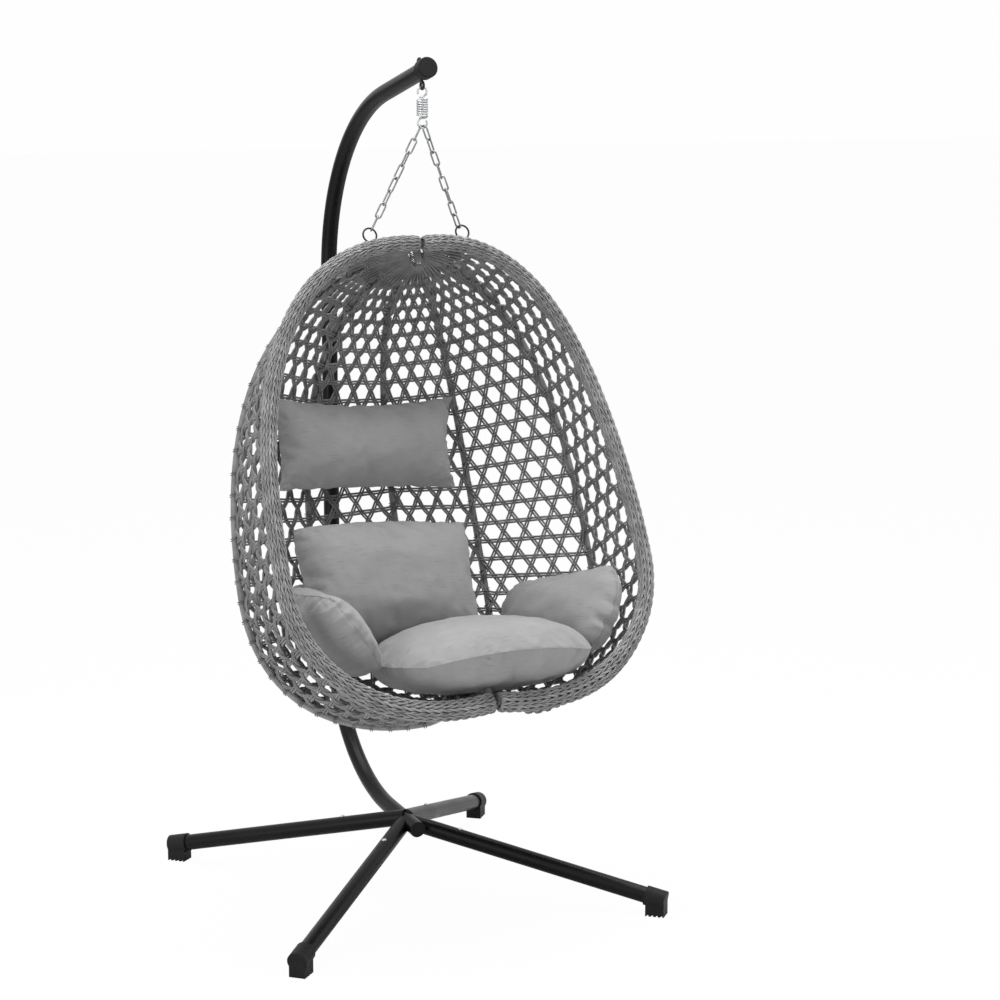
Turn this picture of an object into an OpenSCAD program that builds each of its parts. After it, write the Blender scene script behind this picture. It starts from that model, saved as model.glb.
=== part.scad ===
// Hanging egg chair on a C-shaped post with a four-legged base.
// The basket is a fan of wrapped ribs between two rim halves, all hinged on one leaning line.
// Millimetres. +Z is up and the chair faces -Y. Left and right are as seen from the front,
// so the left side is -X.
// The origin is on the floor, under the middle of the whole object.

/* [Stand] */
// Outside diameter of the post and of the legs
tube_d = 38; // [34:0.5:42]
// Wall of the post and of the legs
tube_wall = 2; // [1.2:0.1:3]
// How far the straight part of the post stands behind the middle of the base
post_back = 435; // [425:1:460]
// Radius of the lower bend of the post
low_bend_r = 370; // [340:1:385]
// Height of the centre of the lower bend
low_bend_z = 548; // [530:1:580]
// Slope of the tail of the post under the base, in degrees
tail_slope = 5; // [3:0.5:7]
// Radius of the upper bend of the post
top_bend_r = 450; // [420:1:470]
// Height of the centre of the upper bend
top_bend_z = 1430; // [1380:1:1500]
// Slope of the arm over the basket, in degrees
arm_slope = 14; // [10:0.5:18]
// How far the end of the arm reaches in front of the middle of the base
arm_reach = 142; // [125:1:160]
// How far the tail of the post reaches in front of the middle of the base
tail_reach = 66; // [60:1:90]
// Height of the joint between the two lengths of the post
post_joint_z = 760; // [650:1:1000]
// How far the joining sleeve goes into each length of the post
sleeve_reach = 70; // [50:1:100]

/* [Base legs] */
// Distance over the floor from the middle of the base to the end of a leg
leg_reach = 630; // [580:1:650]
// Height of the centre of a leg at its foot
foot_z = 35.3; // [32:0.1:42]
// Height at which the front legs leave the post
front_root_z = 169; // [160:1:180]
// Height at which the rear legs leave the post
rear_root_z = 177; // [168:1:188]
// Angle of a front leg from the line to the front, in degrees
front_spread = 46; // [42:0.5:50]
// Angle of a rear leg from the line to the back, in degrees
rear_spread = 41.5; // [38:0.5:46]
// Length of a front socket, measured from the middle of the base
front_socket = 102; // [85:1:120]
// Length of a rear socket, measured from the middle of the base
rear_socket = 133; // [110:1:150]
// How far a socket's spigot goes into its leg
spigot_len = 60; // [40:1:80]
// Wall of the plastic foot cap
foot_wall = 4; // [2.5:0.1:5]
// Length of the foot cap's sleeve over the leg
foot_len = 44; // [35:1:60]
// Width of the block under the foot cap
foot_block_w = 38; // [30:1:46]
// Depth of the grooves in the sole
sole_groove = 3; // [1:0.1:5]

/* [Hanger] */
// Wire of the eye under the arm
eye_wire = 6; // [5:0.1:7]
// Radius of the eye, to the middle of its wire
eye_r = 8; // [7.5:0.1:9]
// Diameter of the eye's shank through the arm
shank_d = 8; // [6:0.5:10]
// How far behind the end of the arm the eye hangs
eye_setback = 36.5; // [28:0.5:42]
// Wire of the spring
spring_wire = 4.6; // [4:0.1:5]
// Radius of the spring's coil and loops, to the middle of the wire
spring_r = 11; // [10:0.1:12]
// Number of turns in the coil
spring_turns = 7; // [5:1:9]
// Open space between neighbouring turns
turn_gap = 0.6; // [0.5:0.1:2]
// Wire of the chain links
link_wire = 4; // [3:0.1:4.4]
// Inside width of a chain link
link_w = 8.6; // [8:0.1:10]
// Number of links in each chain
link_count = 8; // [7:1:10]
// Wire of the rings on the rim
ring_wire = 4.2; // [3.5:0.1:5]
// Radius of the rings on the rim, to the middle of the wire
ring_r = 16; // [14:0.1:18]
// Distance of each ring from the middle of the rim
ring_x = 114; // [95:1:130]
// How far the middle of a ring stands above the middle of the rim
ring_rise = 30.2; // [28:0.1:32]

/* [Basket] */
// Length of the hinge line, from the top of the rim to its bottom
basket_h = 1034; // [980:1:1080]
// Lean of the hinge line, in degrees
basket_tilt = 21.1; // [18:0.1:24]
// Height of the upper end of the hinge line
hinge_z = 1526.5; // [1500:0.5:1560]
// How far the upper end of the hinge line lies in front of the middle of the base
hinge_front = 76.7; // [60:0.1:95]
// Half the width between the centres of the rim
rim_half = 438; // [415:1:450]
// Reach of the outer ribs from the hinge line
outer_rib_r = 508; // [490:1:520]
// Reach of the inner ribs from the hinge line
inner_rib_r = 424; // [405:1:440]
// Reach of the middle rib from the hinge line
back_rib_r = 352; // [335:1:370]
// Angle between neighbouring ribs, in degrees
rib_step = 30; // [28:0.5:30]
// How far the ends of the rim stand in front of the hinge line
rim_offset = 30; // [29:0.5:34]
// Width of the wrapped rim
rim_w = 37.5; // [34:0.5:42]
// Depth of the wrapped rim
rim_d = 35; // [32:0.5:38]
// How far the sides of the rim bow back from a flat frame
rim_bow = 41; // [30:1:50]
// Diameter of a wrapped rib
rib_d = 15; // [12:0.5:16]
// Diameter of the bare rod inside a rib
rod_d = 6; // [5:0.1:6.4]
// Thickness of the woven walls
weave_t = 4; // [3:0.1:5]
// Number of woven gaps from rib to rib
gaps_across = 4; // [3:1:5]
// Number of rows of woven gaps
gaps_down = 13; // [9:1:15]

/* [Hinges] */
// Diameter of the hinge pins
pin_d = 8; // [6:0.1:8]
// Radial clearance of the eyes on the pins
pin_clear = 0.1; // [0.05:0.01:0.3]
// Radius of the eyes on the pins
eye_plate_r = 9; // [8:0.1:9]
// Height that each eye takes on the pin
eye_pitch = 7; // [7:0.1:8]
// Running gap between neighbouring eyes
eye_gap = 0.3; // [0.2:0.05:0.4]
// How far each pin stands out past the middle of the rim
pin_shift = 14; // [10:0.5:15]

/* [Cushions] */
// Width of the head pillow
head_w = 455; // [420:5:480]
// Height of the head pillow
head_h = 215; // [190:5:230]
// Thickness of the head pillow
head_t = 84; // [60:1:95]
// Width of the back cushion
back_w = 436; // [400:2:460]
// Height of the back cushion
back_h = 255; // [240:5:290]
// Thickness of the back cushion
back_t = 118; // [90:1:125]
// Width of the seat cushion
seat_w = 494; // [460:2:510]
// Depth of the seat cushion from front to back
seat_l = 415; // [390:5:430]
// Thickness of the seat cushion
seat_t = 152; // [120:1:155]
// Length of an arm cushion
arm_l = 360; // [330:5:380]
// Height of an arm cushion
arm_h = 198; // [170:2:206]
// Thickness of an arm cushion
arm_t = 105; // [80:1:110]

/* [Hidden] */

$fn = 48;
tiny = 0.01;
// clearance between pieces that touch but belong to different bodies
seat_gap = 0.3;
// the middle of the base lies this far behind the origin
base_y = 10.5;
tube_r = tube_d / 2;
bore_r = tube_r - tube_wall;
slide_fit = 0.2;

// ---- stand ----
straight_y = base_y + post_back;
low_bend_y = straight_y - low_bend_r;
top_bend_y = straight_y - top_bend_r;
low_sweep = 90 - tail_slope;
top_sweep = 90 - arm_slope;
arm_end_y = base_y - arm_reach;
tail_end_y = base_y - tail_reach;
// where each bend turns into its straight end
arm_start = [top_bend_y + top_bend_r * cos(top_sweep), top_bend_z + top_bend_r * sin(top_sweep)];
tail_start = [low_bend_y + low_bend_r * cos(low_sweep), low_bend_z - low_bend_r * sin(low_sweep)];
arm_len = (arm_start[0] - arm_end_y) / cos(arm_slope);
tail_len = (tail_start[0] - tail_end_y) / cos(tail_slope);

cap_wall = 4.5;
cap_len = 20;
cap_plate = 5;
plug_plate = 3;
plug_len = 18;

// ---- legs: side, angle over the floor, root height, socket length ----
leg_frames = [
    [-90 - front_spread, front_root_z, front_socket],
    [-90 + front_spread, front_root_z, front_socket],
    [90 + rear_spread, rear_root_z, rear_socket],
    [90 - rear_spread, rear_root_z, rear_socket]];
function leg_slope(k) = atan((leg_frames[k][1] - foot_z) / leg_reach);
function leg_length(k) = leg_reach / cos(leg_slope(k));
socket_gap = 0.2;
screw_d = 6;
screw_head_d = 11;
screw_head_h = 3.5;

// ---- hanger ----
// the middle of the arm above the eye, along the arm
eye_arm_back = eye_setback * cos(arm_slope);
eye_arm_y = arm_end_y + eye_arm_back;
eye_arm_z = arm_start[1] + (arm_start[0] - eye_arm_y) * tan(arm_slope);
// the shank is square to the arm, and the eye hangs just under it
eye_drop = tube_r + eye_r + eye_wire / 2 + 1;
hang_y = eye_arm_y - eye_drop * sin(arm_slope);
eye_z = eye_arm_z - eye_drop * cos(arm_slope);
// the spring's upper loop rests in the eye
bearing_gap = 0.15;
loop_top_z = eye_z - eye_r + eye_wire / 2 + spring_wire / 2 + bearing_gap;
loop_z = loop_top_z - spring_r;
turn_pitch = spring_wire + turn_gap;
coil_top_z = loop_z - spring_r - spring_wire;
coil_h = (spring_turns + 0.25) * turn_pitch;
coil_bottom_z = coil_top_z - coil_h;
hook_z = coil_bottom_z - spring_wire - spring_r;
hook_bottom_z = hook_z - spring_r;

// ---- basket frame: x to the side, y backwards, z up along the hinge line ----
module in_basket() {
    translate([0, base_y - hinge_front, hinge_z]) rotate([-basket_tilt, 0, 0]) children();
}
function to_world(p) = [p[0],
    base_y - hinge_front + p[1] * cos(basket_tilt) + p[2] * sin(basket_tilt),
    hinge_z - p[1] * sin(basket_tilt) + p[2] * cos(basket_tilt)];

// A rib's outline is two Bezier arcs that meet where it is widest. Its shape is
// [height of the widest point, pull at the top, pull above and below the widest point,
// pull at the bottom, sag at the bottom], as shares of the basket's height or the rib's reach.
RIM_SHAPE = [0.716, 0.105, 0.806, 0.165, 0.676, 0.043];
OUTER_SHAPE = [0.690, 0.380, 0.587, 0.338, 0.311, 0.064];
INNER_SHAPE = [0.659, 0.564, 0.448, 0.144, 0.943, 0.034];
BACK_SHAPE = [0.645, 0.426, 0.577, 0.144, 1.000, 0.029];
// the eyes stack on the pin in this order, counted from the rim's own two lugs
lug_left_level = 0.7 * eye_pitch - pin_shift;
lug_right_level = lug_left_level + eye_pitch;
outer_left_level = lug_right_level + eye_pitch;
outer_right_level = outer_left_level + eye_pitch;
inner_left_level = outer_right_level + eye_pitch;
inner_right_level = inner_left_level + eye_pitch;
middle_level = inner_right_level + eye_pitch;
// the ribs run square to the pin for this far, so that they clear the eyes of their neighbours
square_run = 14;
// meridians from left to right: fan angle, reach, shape, eye level
RIBS = [
    [-90, rim_half, RIM_SHAPE, 0],
    [-2 * rib_step, outer_rib_r, OUTER_SHAPE, outer_left_level],
    [-rib_step, inner_rib_r, INNER_SHAPE, inner_left_level],
    [0, back_rib_r, BACK_SHAPE, middle_level],
    [rib_step, inner_rib_r, INNER_SHAPE, inner_right_level],
    [2 * rib_step, outer_rib_r, OUTER_SHAPE, outer_right_level],
    [90, rim_half, RIM_SHAPE, 0]];

function bezier(a, b, c, d, t) =
    pow(1 - t, 3) * a + 3 * pow(1 - t, 2) * t * b + 3 * (1 - t) * t * t * c + pow(t, 3) * d;
// distance down the hinge line and reach from it, for t from 0 at the top to 2 at the bottom
function outline(k, t) = let (r = RIBS[k][1], s = RIBS[k][2], e = RIBS[k][3],
        wide = [s[0] * basket_h, r],
        start = is_rim(k) ? 0 : square_run)
    t <= 1
    ? bezier([e, start], [e, s[1] * r], wide - [s[2] * basket_h, 0], wide, t)
    : bezier(wide, wide + [s[3] * basket_h, 0], [(1 + s[5]) * basket_h, s[4] * r],
        [basket_h - e, start], t - 1);
function is_rim(k) = k == 0 || k == len(RIBS) - 1;
// the rim stands in front of the hinge line and bows back at its sides
function rim_back(q) = let (a = atan2(q[0] - basket_h / 2, q[1]))
    -rim_offset + rim_bow * cos(a) * (1 - 0.88 * sin(a));
function meridian(k, t) = let (q = outline(k, t), f = RIBS[k][0])
    is_rim(k) ? [sign(f) * q[1], rim_back(q), -q[0]]
    : [q[1] * sin(f), q[1] * cos(f), -q[0]];

// table of length along a meridian against t, so that rows can be spaced evenly
LENGTH_STEPS = 48;
function run_lengths(k, i = 0, sum = 0, list = []) =
    i > LENGTH_STEPS ? list
    : let (t = 2 * i / LENGTH_STEPS, u = 2 * (i + 1) / LENGTH_STEPS)
      run_lengths(k, i + 1, sum + norm(meridian(k, u) - meridian(k, t)),
          concat(list, [[sum, t]]));
LENGTHS = [for (k = [0:len(RIBS) - 1]) run_lengths(k)];
function even_t(k, f) = lookup(f * LENGTHS[k][LENGTH_STEPS][0], LENGTHS[k]);
function even_point(k, f) = meridian(k, even_t(k, f));

function unit(v) = v / norm(v);
// the direction of travel along meridian k
function heading(k, t) = let (d = 0.002)
    unit(meridian(k, min(2, t + d)) - meridian(k, max(0, t - d)));

// ---- skins built from rings of points ----
// closed tube through rings that each hold the same number of points
function tube_faces(rings, sides) = concat(
    [for (i = [0:rings - 2], j = [0:sides - 1]) let (a = i * sides + j,
        b = i * sides + (j + 1) % sides) [a, a + sides, b]],
    [for (i = [0:rings - 2], j = [0:sides - 1]) let (a = i * sides + j,
        b = i * sides + (j + 1) % sides) [b, a + sides, b + sides]],
    [for (j = [1:sides - 2]) [0, j, j + 1]],
    [for (j = [1:sides - 2]) let (e = (rings - 1) * sides) [e, e + j + 1, e + j]]);
module skin(rings) {
    sides = len(rings[0]);
    polyhedron([for (r = rings) for (p = r) p], tube_faces(len(rings), sides));
}
// one oval ring about a centre: side and up are its half axes, and side x up is the way ahead
function oval(c, side, up, sides) =
    [for (j = [0:sides - 1]) let (a = 360 * j / sides) c + cos(a) * side + sin(a) * up];

// ---- stand modules ----
module pipe(r, wall, length) {
    difference() {
        cylinder(r = r, h = length);
        translate([0, 0, -1]) cylinder(r = r - wall, h = length + 2);
    }
}
// the part of a torus from angle 0 to sweep, cut square so that straight rods join it face to face
module bent_rod(r, bend_r, sweep) {
    reach = bend_r + 2 * r;
    intersection() {
        rotate_extrude($fn = 240) translate([bend_r, 0]) circle(r = r);
        translate([0, 0, -reach]) cube([reach, reach, 2 * reach]);
        rotate([0, 0, sweep]) translate([0, -reach, -reach]) cube([reach, reach, 2 * reach]);
    }
}
// turns the flat bend, which starts on +X, into the plane of the post with its start pointing up
module post_plane() {
    rotate([90, 0, 90]) children();
}

// the lower length of the post as a solid rod of radius r: upright, bend and tail
module lower_rod(r) {
    translate([0, straight_y, low_bend_z]) cylinder(r = r, h = post_joint_z - low_bend_z);
    translate([0, low_bend_y, low_bend_z]) post_plane() mirror([0, 1, 0]) {
        bent_rod(r, low_bend_r, low_sweep);
        rotate([0, 0, low_sweep]) translate([low_bend_r, 0, 0]) rotate([-90, 0, 0])
            cylinder(r = r, h = tail_len);
    }
}
module post_lower() {
    color("black") difference() {
        lower_rod(tube_r);
        lower_rod(bore_r);
    }
}

// the upper length: upright, bend and arm
module upper_rod(r) {
    translate([0, straight_y, post_joint_z]) cylinder(r = r, h = top_bend_z - post_joint_z);
    translate([0, top_bend_y, top_bend_z]) post_plane() {
        bent_rod(r, top_bend_r, top_sweep);
        rotate([0, 0, top_sweep]) translate([top_bend_r, 0, 0]) rotate([-90, 0, 0])
            cylinder(r = r, h = arm_len);
    }
}

module post_upper() {
    color("black") difference() {
        upper_rod(tube_r);
        upper_rod(bore_r);
        at_shank() translate([0, 0, -tube_d]) cylinder(r = shank_d / 2 + slide_fit, h = 2 * tube_d);
    }
}

module post_sleeve() {
    color("dimgray") translate([0, straight_y, post_joint_z - sleeve_reach])
        pipe(bore_r - slide_fit, tube_wall, 2 * sleeve_reach);
}

// heads on the back of the post that hold the sleeve
module post_screws() {
    color("silver") for (side = [-1, 1])
        translate([0, straight_y + tube_r, post_joint_z + side * sleeve_reach / 2])
            rotate([-90, 0, 0]) screw_head();
}
module screw_head() {
    intersection() {
        cylinder(r = screw_head_d / 2, h = screw_head_h);
        translate([0, 0, screw_head_h - screw_head_d]) sphere(r = screw_head_d, $fn = 48);
    }
}

// puts its children at the root of leg k, with +X along the leg
module along_leg(k) {
    translate([0, base_y, leg_frames[k][1]]) rotate([0, 0, leg_frames[k][0]])
        rotate([0, leg_slope(k), 0]) rotate([0, 90, 0]) children();
}
function socket_end(k) = leg_frames[k][2] / cos(leg_slope(k));

module leg_sockets() {
    color("black") difference() {
        for (k = [0:3]) along_leg(k) {
            cylinder(r = tube_r, h = socket_end(k));
            cylinder(r = bore_r - slide_fit, h = socket_end(k) + spigot_len);
        }
        translate([0, tail_end_y, tail_start[1] - tail_len * sin(tail_slope)])
            rotate([-90 + tail_slope, 0, 0]) translate([0, 0, -tube_d])
                cylinder(r = tube_r + tiny, h = tail_len + tube_d);
    }
}

module leg(k) {
    color("black") along_leg(k) translate([0, 0, socket_end(k) + socket_gap])
        pipe(tube_r, tube_wall, leg_length(k) - socket_end(k) - socket_gap);
}
module leg_front_left() { leg(0); }
module leg_front_right() { leg(1); }
module leg_rear_left() { leg(2); }
module leg_rear_right() { leg(3); }

// one screw on top of each leg, into the spigot
module leg_screws() {
    color("silver") for (k = [0:3]) along_leg(k)
        translate([-tube_r, 0, socket_end(k) + spigot_len / 2]) rotate([0, -90, 0]) screw_head();
}

foot_r = tube_r + foot_wall;
foot_block_l = 44;
groove_w = 5;
groove_count = 4;
module foot(k) {
    end_x = leg_reach + foot_wall;
    color("black") difference() {
        union() {
            along_leg(k) translate([0, 0, leg_length(k) - foot_len])
                cylinder(r = foot_r, h = foot_len + foot_wall);
            translate([0, base_y, 0]) rotate([0, 0, leg_frames[k][0]])
                translate([end_x - foot_block_l, -foot_block_w / 2, 0])
                    cube([foot_block_l, foot_block_w, foot_z]);
        }
        along_leg(k) translate([0, 0, leg_length(k) - foot_len - foot_block_l])
            cylinder(r = tube_r + tiny, h = foot_len + foot_block_l);
        // grooves across the sole
        translate([0, base_y, 0]) rotate([0, 0, leg_frames[k][0]])
            for (i = [0:groove_count - 1])
                translate([end_x - foot_block_l + (i + 0.5) * foot_block_l / groove_count
                    - groove_w / 2, -foot_block_w, -1])
                    cube([groove_w, 2 * foot_block_w, sole_groove + 1]);
    }
}
module foot_front_left() { foot(0); }
module foot_front_right() { foot(1); }
module foot_rear_left() { foot(2); }
module foot_rear_right() { foot(3); }

module tail_plug() {
    color("black") translate([0, tail_end_y, tail_start[1] - tail_len * sin(tail_slope)])
        rotate([90 + tail_slope, 0, 0]) union() {
            cylinder(r = tube_r, h = plug_plate);
            translate([0, 0, -plug_len]) cylinder(r = bore_r - slide_fit, h = plug_len + tiny);
        }
}

// plastic cap over the end of the arm, with a rounded face
module arm_cap() {
    r = tube_r + cap_wall;
    color("black") translate([0, arm_end_y, arm_start[1] + arm_len * sin(arm_slope)])
        rotate([90 - arm_slope, 0, 0]) difference() {
            rotate_extrude($fn = 96) union() {
                translate([0, -cap_len]) square([r, cap_len + cap_plate / 2]);
                translate([0, cap_plate / 2]) square([r - cap_plate / 2, cap_plate / 2]);
                translate([r - cap_plate / 2, cap_plate / 2]) circle(r = cap_plate / 2, $fn = 32);
            }
            translate([0, 0, -cap_len - 1]) cylinder(r = tube_r + tiny, h = cap_len + 1);
        }
}

// ---- hanger modules ----
// the shank's line: +Z runs up through the arm from its middle
module at_shank() {
    translate([0, eye_arm_y, eye_arm_z]) rotate([-arm_slope, 0, 0]) children();
}
shank_top = tube_r + 12;
nut_h = 6.5;
module eye_bolt() {
    color("black") union() {
        translate([0, hang_y, eye_z]) rotate([0, 90, 0])
            rotate_extrude($fn = 64) translate([eye_r, 0]) circle(r = eye_wire / 2, $fn = 24);
        at_shank() translate([0, 0, -tube_r - eye_wire / 2 - 1])
            cylinder(r = shank_d / 2, h = tube_r + shank_top + eye_wire / 2 + 1);
    }
}
// lock nut and washer on top of the arm
module eye_nut() {
    color("black") at_shank() difference() {
        union() {
            translate([0, 0, tube_r + slide_fit]) cylinder(r = shank_d, h = 1.5);
            translate([0, 0, tube_r + slide_fit + 1.5]) cylinder(r = shank_d * 0.85, h = nut_h, $fn = 6);
        }
        translate([0, 0, tube_r]) cylinder(r = shank_d / 2 + tiny, h = nut_h + 4);
    }
}

// the wire's route: over the upper loop, down its far side, then outwards into the coil
COIL_STEPS = 8;
COIL_START = 315;
WIRE_SIDES = 6;
LOOP_STEPS = 12;
LOOP_OPEN = 60;
function loop_point(i) = let (a = LOOP_OPEN + (350 - LOOP_OPEN) * i / LOOP_STEPS)
    [-spring_r * sin(a), 0, loop_z - spring_r * cos(a)];
function coil_point(i) = let (a = COIL_START + 360 * i / COIL_STEPS)
    [spring_r * sin(a), -spring_r * cos(a), coil_top_z - turn_pitch * i / COIL_STEPS];
SPRING_ROUTE = concat(
    [for (i = [0:LOOP_STEPS]) loop_point(i)],
    [[-spring_r * 0.35, -spring_r * 0.12, coil_top_z + spring_wire * 0.75],
     [-spring_r * 0.62, -spring_r * 0.4, coil_top_z + spring_wire * 0.35]],
    [for (i = [0:(spring_turns + 0.25) * COIL_STEPS]) coil_point(i)],
    [[spring_r * 0.78, -spring_r * 0.4, coil_bottom_z - spring_wire * 0.4],
     [spring_r * 0.64, -spring_r * 0.1, coil_bottom_z - spring_wire * 0.85],
     [seat_gap + spring_wire, 0, hook_z + spring_r],
     [seat_gap, 0, hook_z + spring_r]]);
module spring_coil() {
    color("silver") translate([0, hang_y, 0]) coil_wire();
}
module coil_wire() {
    // turns are vertical-axis rings, so the wire's frame is radial and upright
    n = len(SPRING_ROUTE);
    rings = [for (i = [0:n - 1]) let (
            d = unit(SPRING_ROUTE[min(n - 1, i + 1)] - SPRING_ROUTE[max(0, i - 1)]),
            ref = i <= LOOP_STEPS ? [0, 1, 0] : [0, 0, 1],
            side = unit(cross(d, ref)), up = cross(side, d))
        i <= LOOP_STEPS ? oval(SPRING_ROUTE[i], spring_wire / 2 * up, spring_wire / 2 * side,
            WIRE_SIDES)
        : oval(SPRING_ROUTE[i], spring_wire / 2 * side, -spring_wire / 2 * up, WIRE_SIDES)];
    skin(rings);
}
// least open space between the spring's turns, measured on its route
COIL_FIRST = LOOP_STEPS + 3;
COIL_LAST = COIL_FIRST + (spring_turns + 0.25) * COIL_STEPS;
coil_gap = min([for (i = [COIL_FIRST:COIL_LAST - COIL_STEPS])
    min([for (j = [i + COIL_STEPS - 1:min(COIL_LAST, i + COIL_STEPS + 1)])
        norm(SPRING_ROUTE[i] - SPRING_ROUTE[j])])]) - spring_wire;
echo(str("least gap between the turns of the spring: ", coil_gap, " mm"));

// the lower hook of the spring, which starts where the coil's wire ends
HOOK_SWEEP = 300;
module spring_hook() {
    color("silver") translate([0, hang_y, hook_z]) rotate([90, 0, 0]) rotate([0, 0, 90])
        rotate_extrude(angle = HOOK_SWEEP, $fn = 72) translate([spring_r, 0])
            circle(r = spring_wire / 2, $fn = 20);
}

// ---- chains ----
// stadium-shaped link in the XZ plane, standing along Z about its middle
module chain_link(inner) {
    bend_r = link_w / 2 + link_wire / 2;
    leg_l = inner - link_w;
    for (s = [-1, 1]) {
        translate([s * bend_r, 0, -leg_l / 2]) cylinder(r = link_wire / 2, h = leg_l, $fn = 20);
        translate([0, 0, s * leg_l / 2]) rotate([90, 0, 0]) rotate([0, 0, s > 0 ? 0 : 180])
            rotate_extrude(angle = 180, $fn = 40) translate([bend_r, 0])
                circle(r = link_wire / 2, $fn = 20);
    }
}
link_gap = 0.4;
// place on the rim's outline that lies as far out as the rings
RING_STEPS = 40;
ring_at = lookup(ring_x, [for (i = [0:RING_STEPS]) [outline(0, i / RING_STEPS)[1], i / RING_STEPS]]);
// each link is turned from the one above, so that both end links lie square to what holds them
link_turn = 180 * 3 / (link_count - 1);
hook_lap = spring_wire / 2 + link_wire / 2 + bearing_gap;
ring_lap = ring_wire / 2 + link_wire / 2 + bearing_gap;
top_link_x = 5.2;
// where the chains start on the hook and end on the rings
chain_start = [top_link_x, hang_y, hook_z - sqrt(pow(spring_r, 2) - pow(top_link_x, 2))];
ring_centre = [ring_x, rim_back(outline(0, ring_at)), ring_rise - outline(0, ring_at)[0]];
// the chain holds the ring where its pull crosses the wire
function in_ring_plane(p) = let (a = to_world([0, 1, 0]) - to_world([0, 0, 0])) p - a * (p * a);
ring_pull = unit(in_ring_plane(chain_start - to_world(ring_centre)));
chain_end = to_world(ring_centre) + ring_r * ring_pull;
chain_run = norm(chain_end - chain_start);
chain_dir = unit(chain_end - chain_start);
// inside length of a link, from the run that the links must fill
link_inner = (chain_run + hook_lap + ring_lap + (link_count - 1) * link_gap - link_wire) / link_count;
link_step = link_inner - link_gap;
function link_middle(i) = (link_inner + link_wire) / 2 - hook_lap + i * link_step;
// side is 1 or -1; the links lie along the chain and turn a quarter from one to the next
module chain_links(side, first, last) {
    color("lightgray") mirror([side < 0 ? 1 : 0, 0, 0]) translate(chain_start)
        rotate([0, acos(chain_dir[2]), atan2(chain_dir[1], chain_dir[0])])
            for (i = [first:last]) translate([0, 0, link_middle(i)])
                rotate([0, 0, 90 + link_turn * i]) chain_link(link_inner);
}
module chain_top_links() {
    chain_links(1, 0, 0);
    chain_links(-1, 0, 0);
}
module chain_left() { chain_links(-1, 1, link_count - 1); }
module chain_right() { chain_links(1, 1, link_count - 1); }

// a ring welded to the rim's tube, with its lower side inside the wrapping
module rim_ring(side) {
    color("black") in_basket() translate([side * ring_centre[0], ring_centre[1], ring_centre[2]])
        rotate([90, 0, 0]) rotate_extrude($fn = 72) translate([ring_r, 0])
            circle(r = ring_wire / 2, $fn = 20);
}
module ring_left() { rim_ring(-1); }
module ring_right() { rim_ring(1); }

// ---- basket modules ----
pin_r = pin_d / 2;
pin_reach = middle_level + eye_pitch / 2 + eye_gap;
pin_head_r = 7.5;
pin_head_h = 4;
pin_top = lug_left_level - eye_pitch / 2 - eye_gap;
module hinge_pin(up) {
    mirror([0, 0, up ? 0 : 1]) {
        translate([0, 0, -pin_reach]) cylinder(r = pin_r, h = pin_reach - pin_top);
        translate([0, 0, -pin_top]) cylinder(r = pin_head_r, h = pin_head_h);
        translate([0, 0, -pin_reach - pin_head_h]) cylinder(r = pin_head_r, h = pin_head_h);
    }
}
module hinge_pin_top() { color("dimgray") in_basket() hinge_pin(true); }
module hinge_pin_bottom() {
    color("dimgray") in_basket() translate([0, 0, -basket_h]) hinge_pin(false);
}

// an eye on the pin, at a level measured from the nearer end of the hinge line
module eye_plate(level, up) {
    z = up ? -level : -basket_h + level;
    translate([0, 0, z - (eye_pitch - eye_gap) / 2]) difference() {
        cylinder(r = eye_plate_r, h = eye_pitch - eye_gap);
        translate([0, 0, -1]) cylinder(r = pin_r + pin_clear, h = eye_pitch + 2);
    }
}

RIB_RINGS = 30;
RIB_SIDES = 8;
wrap_from = 115;
wrap_to = 140;
rod_start = 6;
// the rod is bare near the hinge, where its neighbours fold close to it
function rib_radius(reach) = let (f = (reach - wrap_from) / (wrap_to - wrap_from))
    rod_d / 2 + (rib_d - rod_d) / 2 * max(0, min(1, f));
module rib(k) {
    fan = RIBS[k][0];
    e = RIBS[k][3];
    across = [cos(fan), -sin(fan), 0];
    out = [sin(fan), cos(fan), 0];
    // the two ends start square to the pin, inside the eyes
    first = oval([0, 0, -e] + rod_start * out, rod_d / 2 * across, rod_d / 2 * cross(out, across),
        RIB_SIDES);
    last = oval([0, 0, e - basket_h] + rod_start * out, rod_d / 2 * across,
        -rod_d / 2 * cross(out, across), RIB_SIDES);
    rings = [for (i = [0:RIB_RINGS - 1]) let (
            f = i / (RIB_RINGS - 1), t = 2 * (f - 0.08 * sin(360 * f)),
            q = outline(k, t), rr = rib_radius(q[1]),
            d = i == 0 ? unit(out + heading(k, t)) : i == RIB_RINGS - 1 ? unit(heading(k, t) - out)
                : heading(k, t))
        oval(meridian(k, t), rr * across, rr * cross(d, across), RIB_SIDES)];
    in_basket() union() {
        skin(concat([first], rings, [last]));
        eye_plate(RIBS[k][3], true);
        eye_plate(RIBS[k][3], false);
    }
}
module rib_left_outer() { color("gray") rib(1); }
module rib_left_inner() { color("gray") rib(2); }
module rib_middle() { color("gray") rib(3); }
module rib_right_inner() { color("gray") rib(4); }
module rib_right_outer() { color("gray") rib(5); }

RIM_RINGS = 40;
RIM_SIDES = 14;
rim_t0 = 0.02;
rim_t1 = 0.004;
rim_round = 11;
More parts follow.
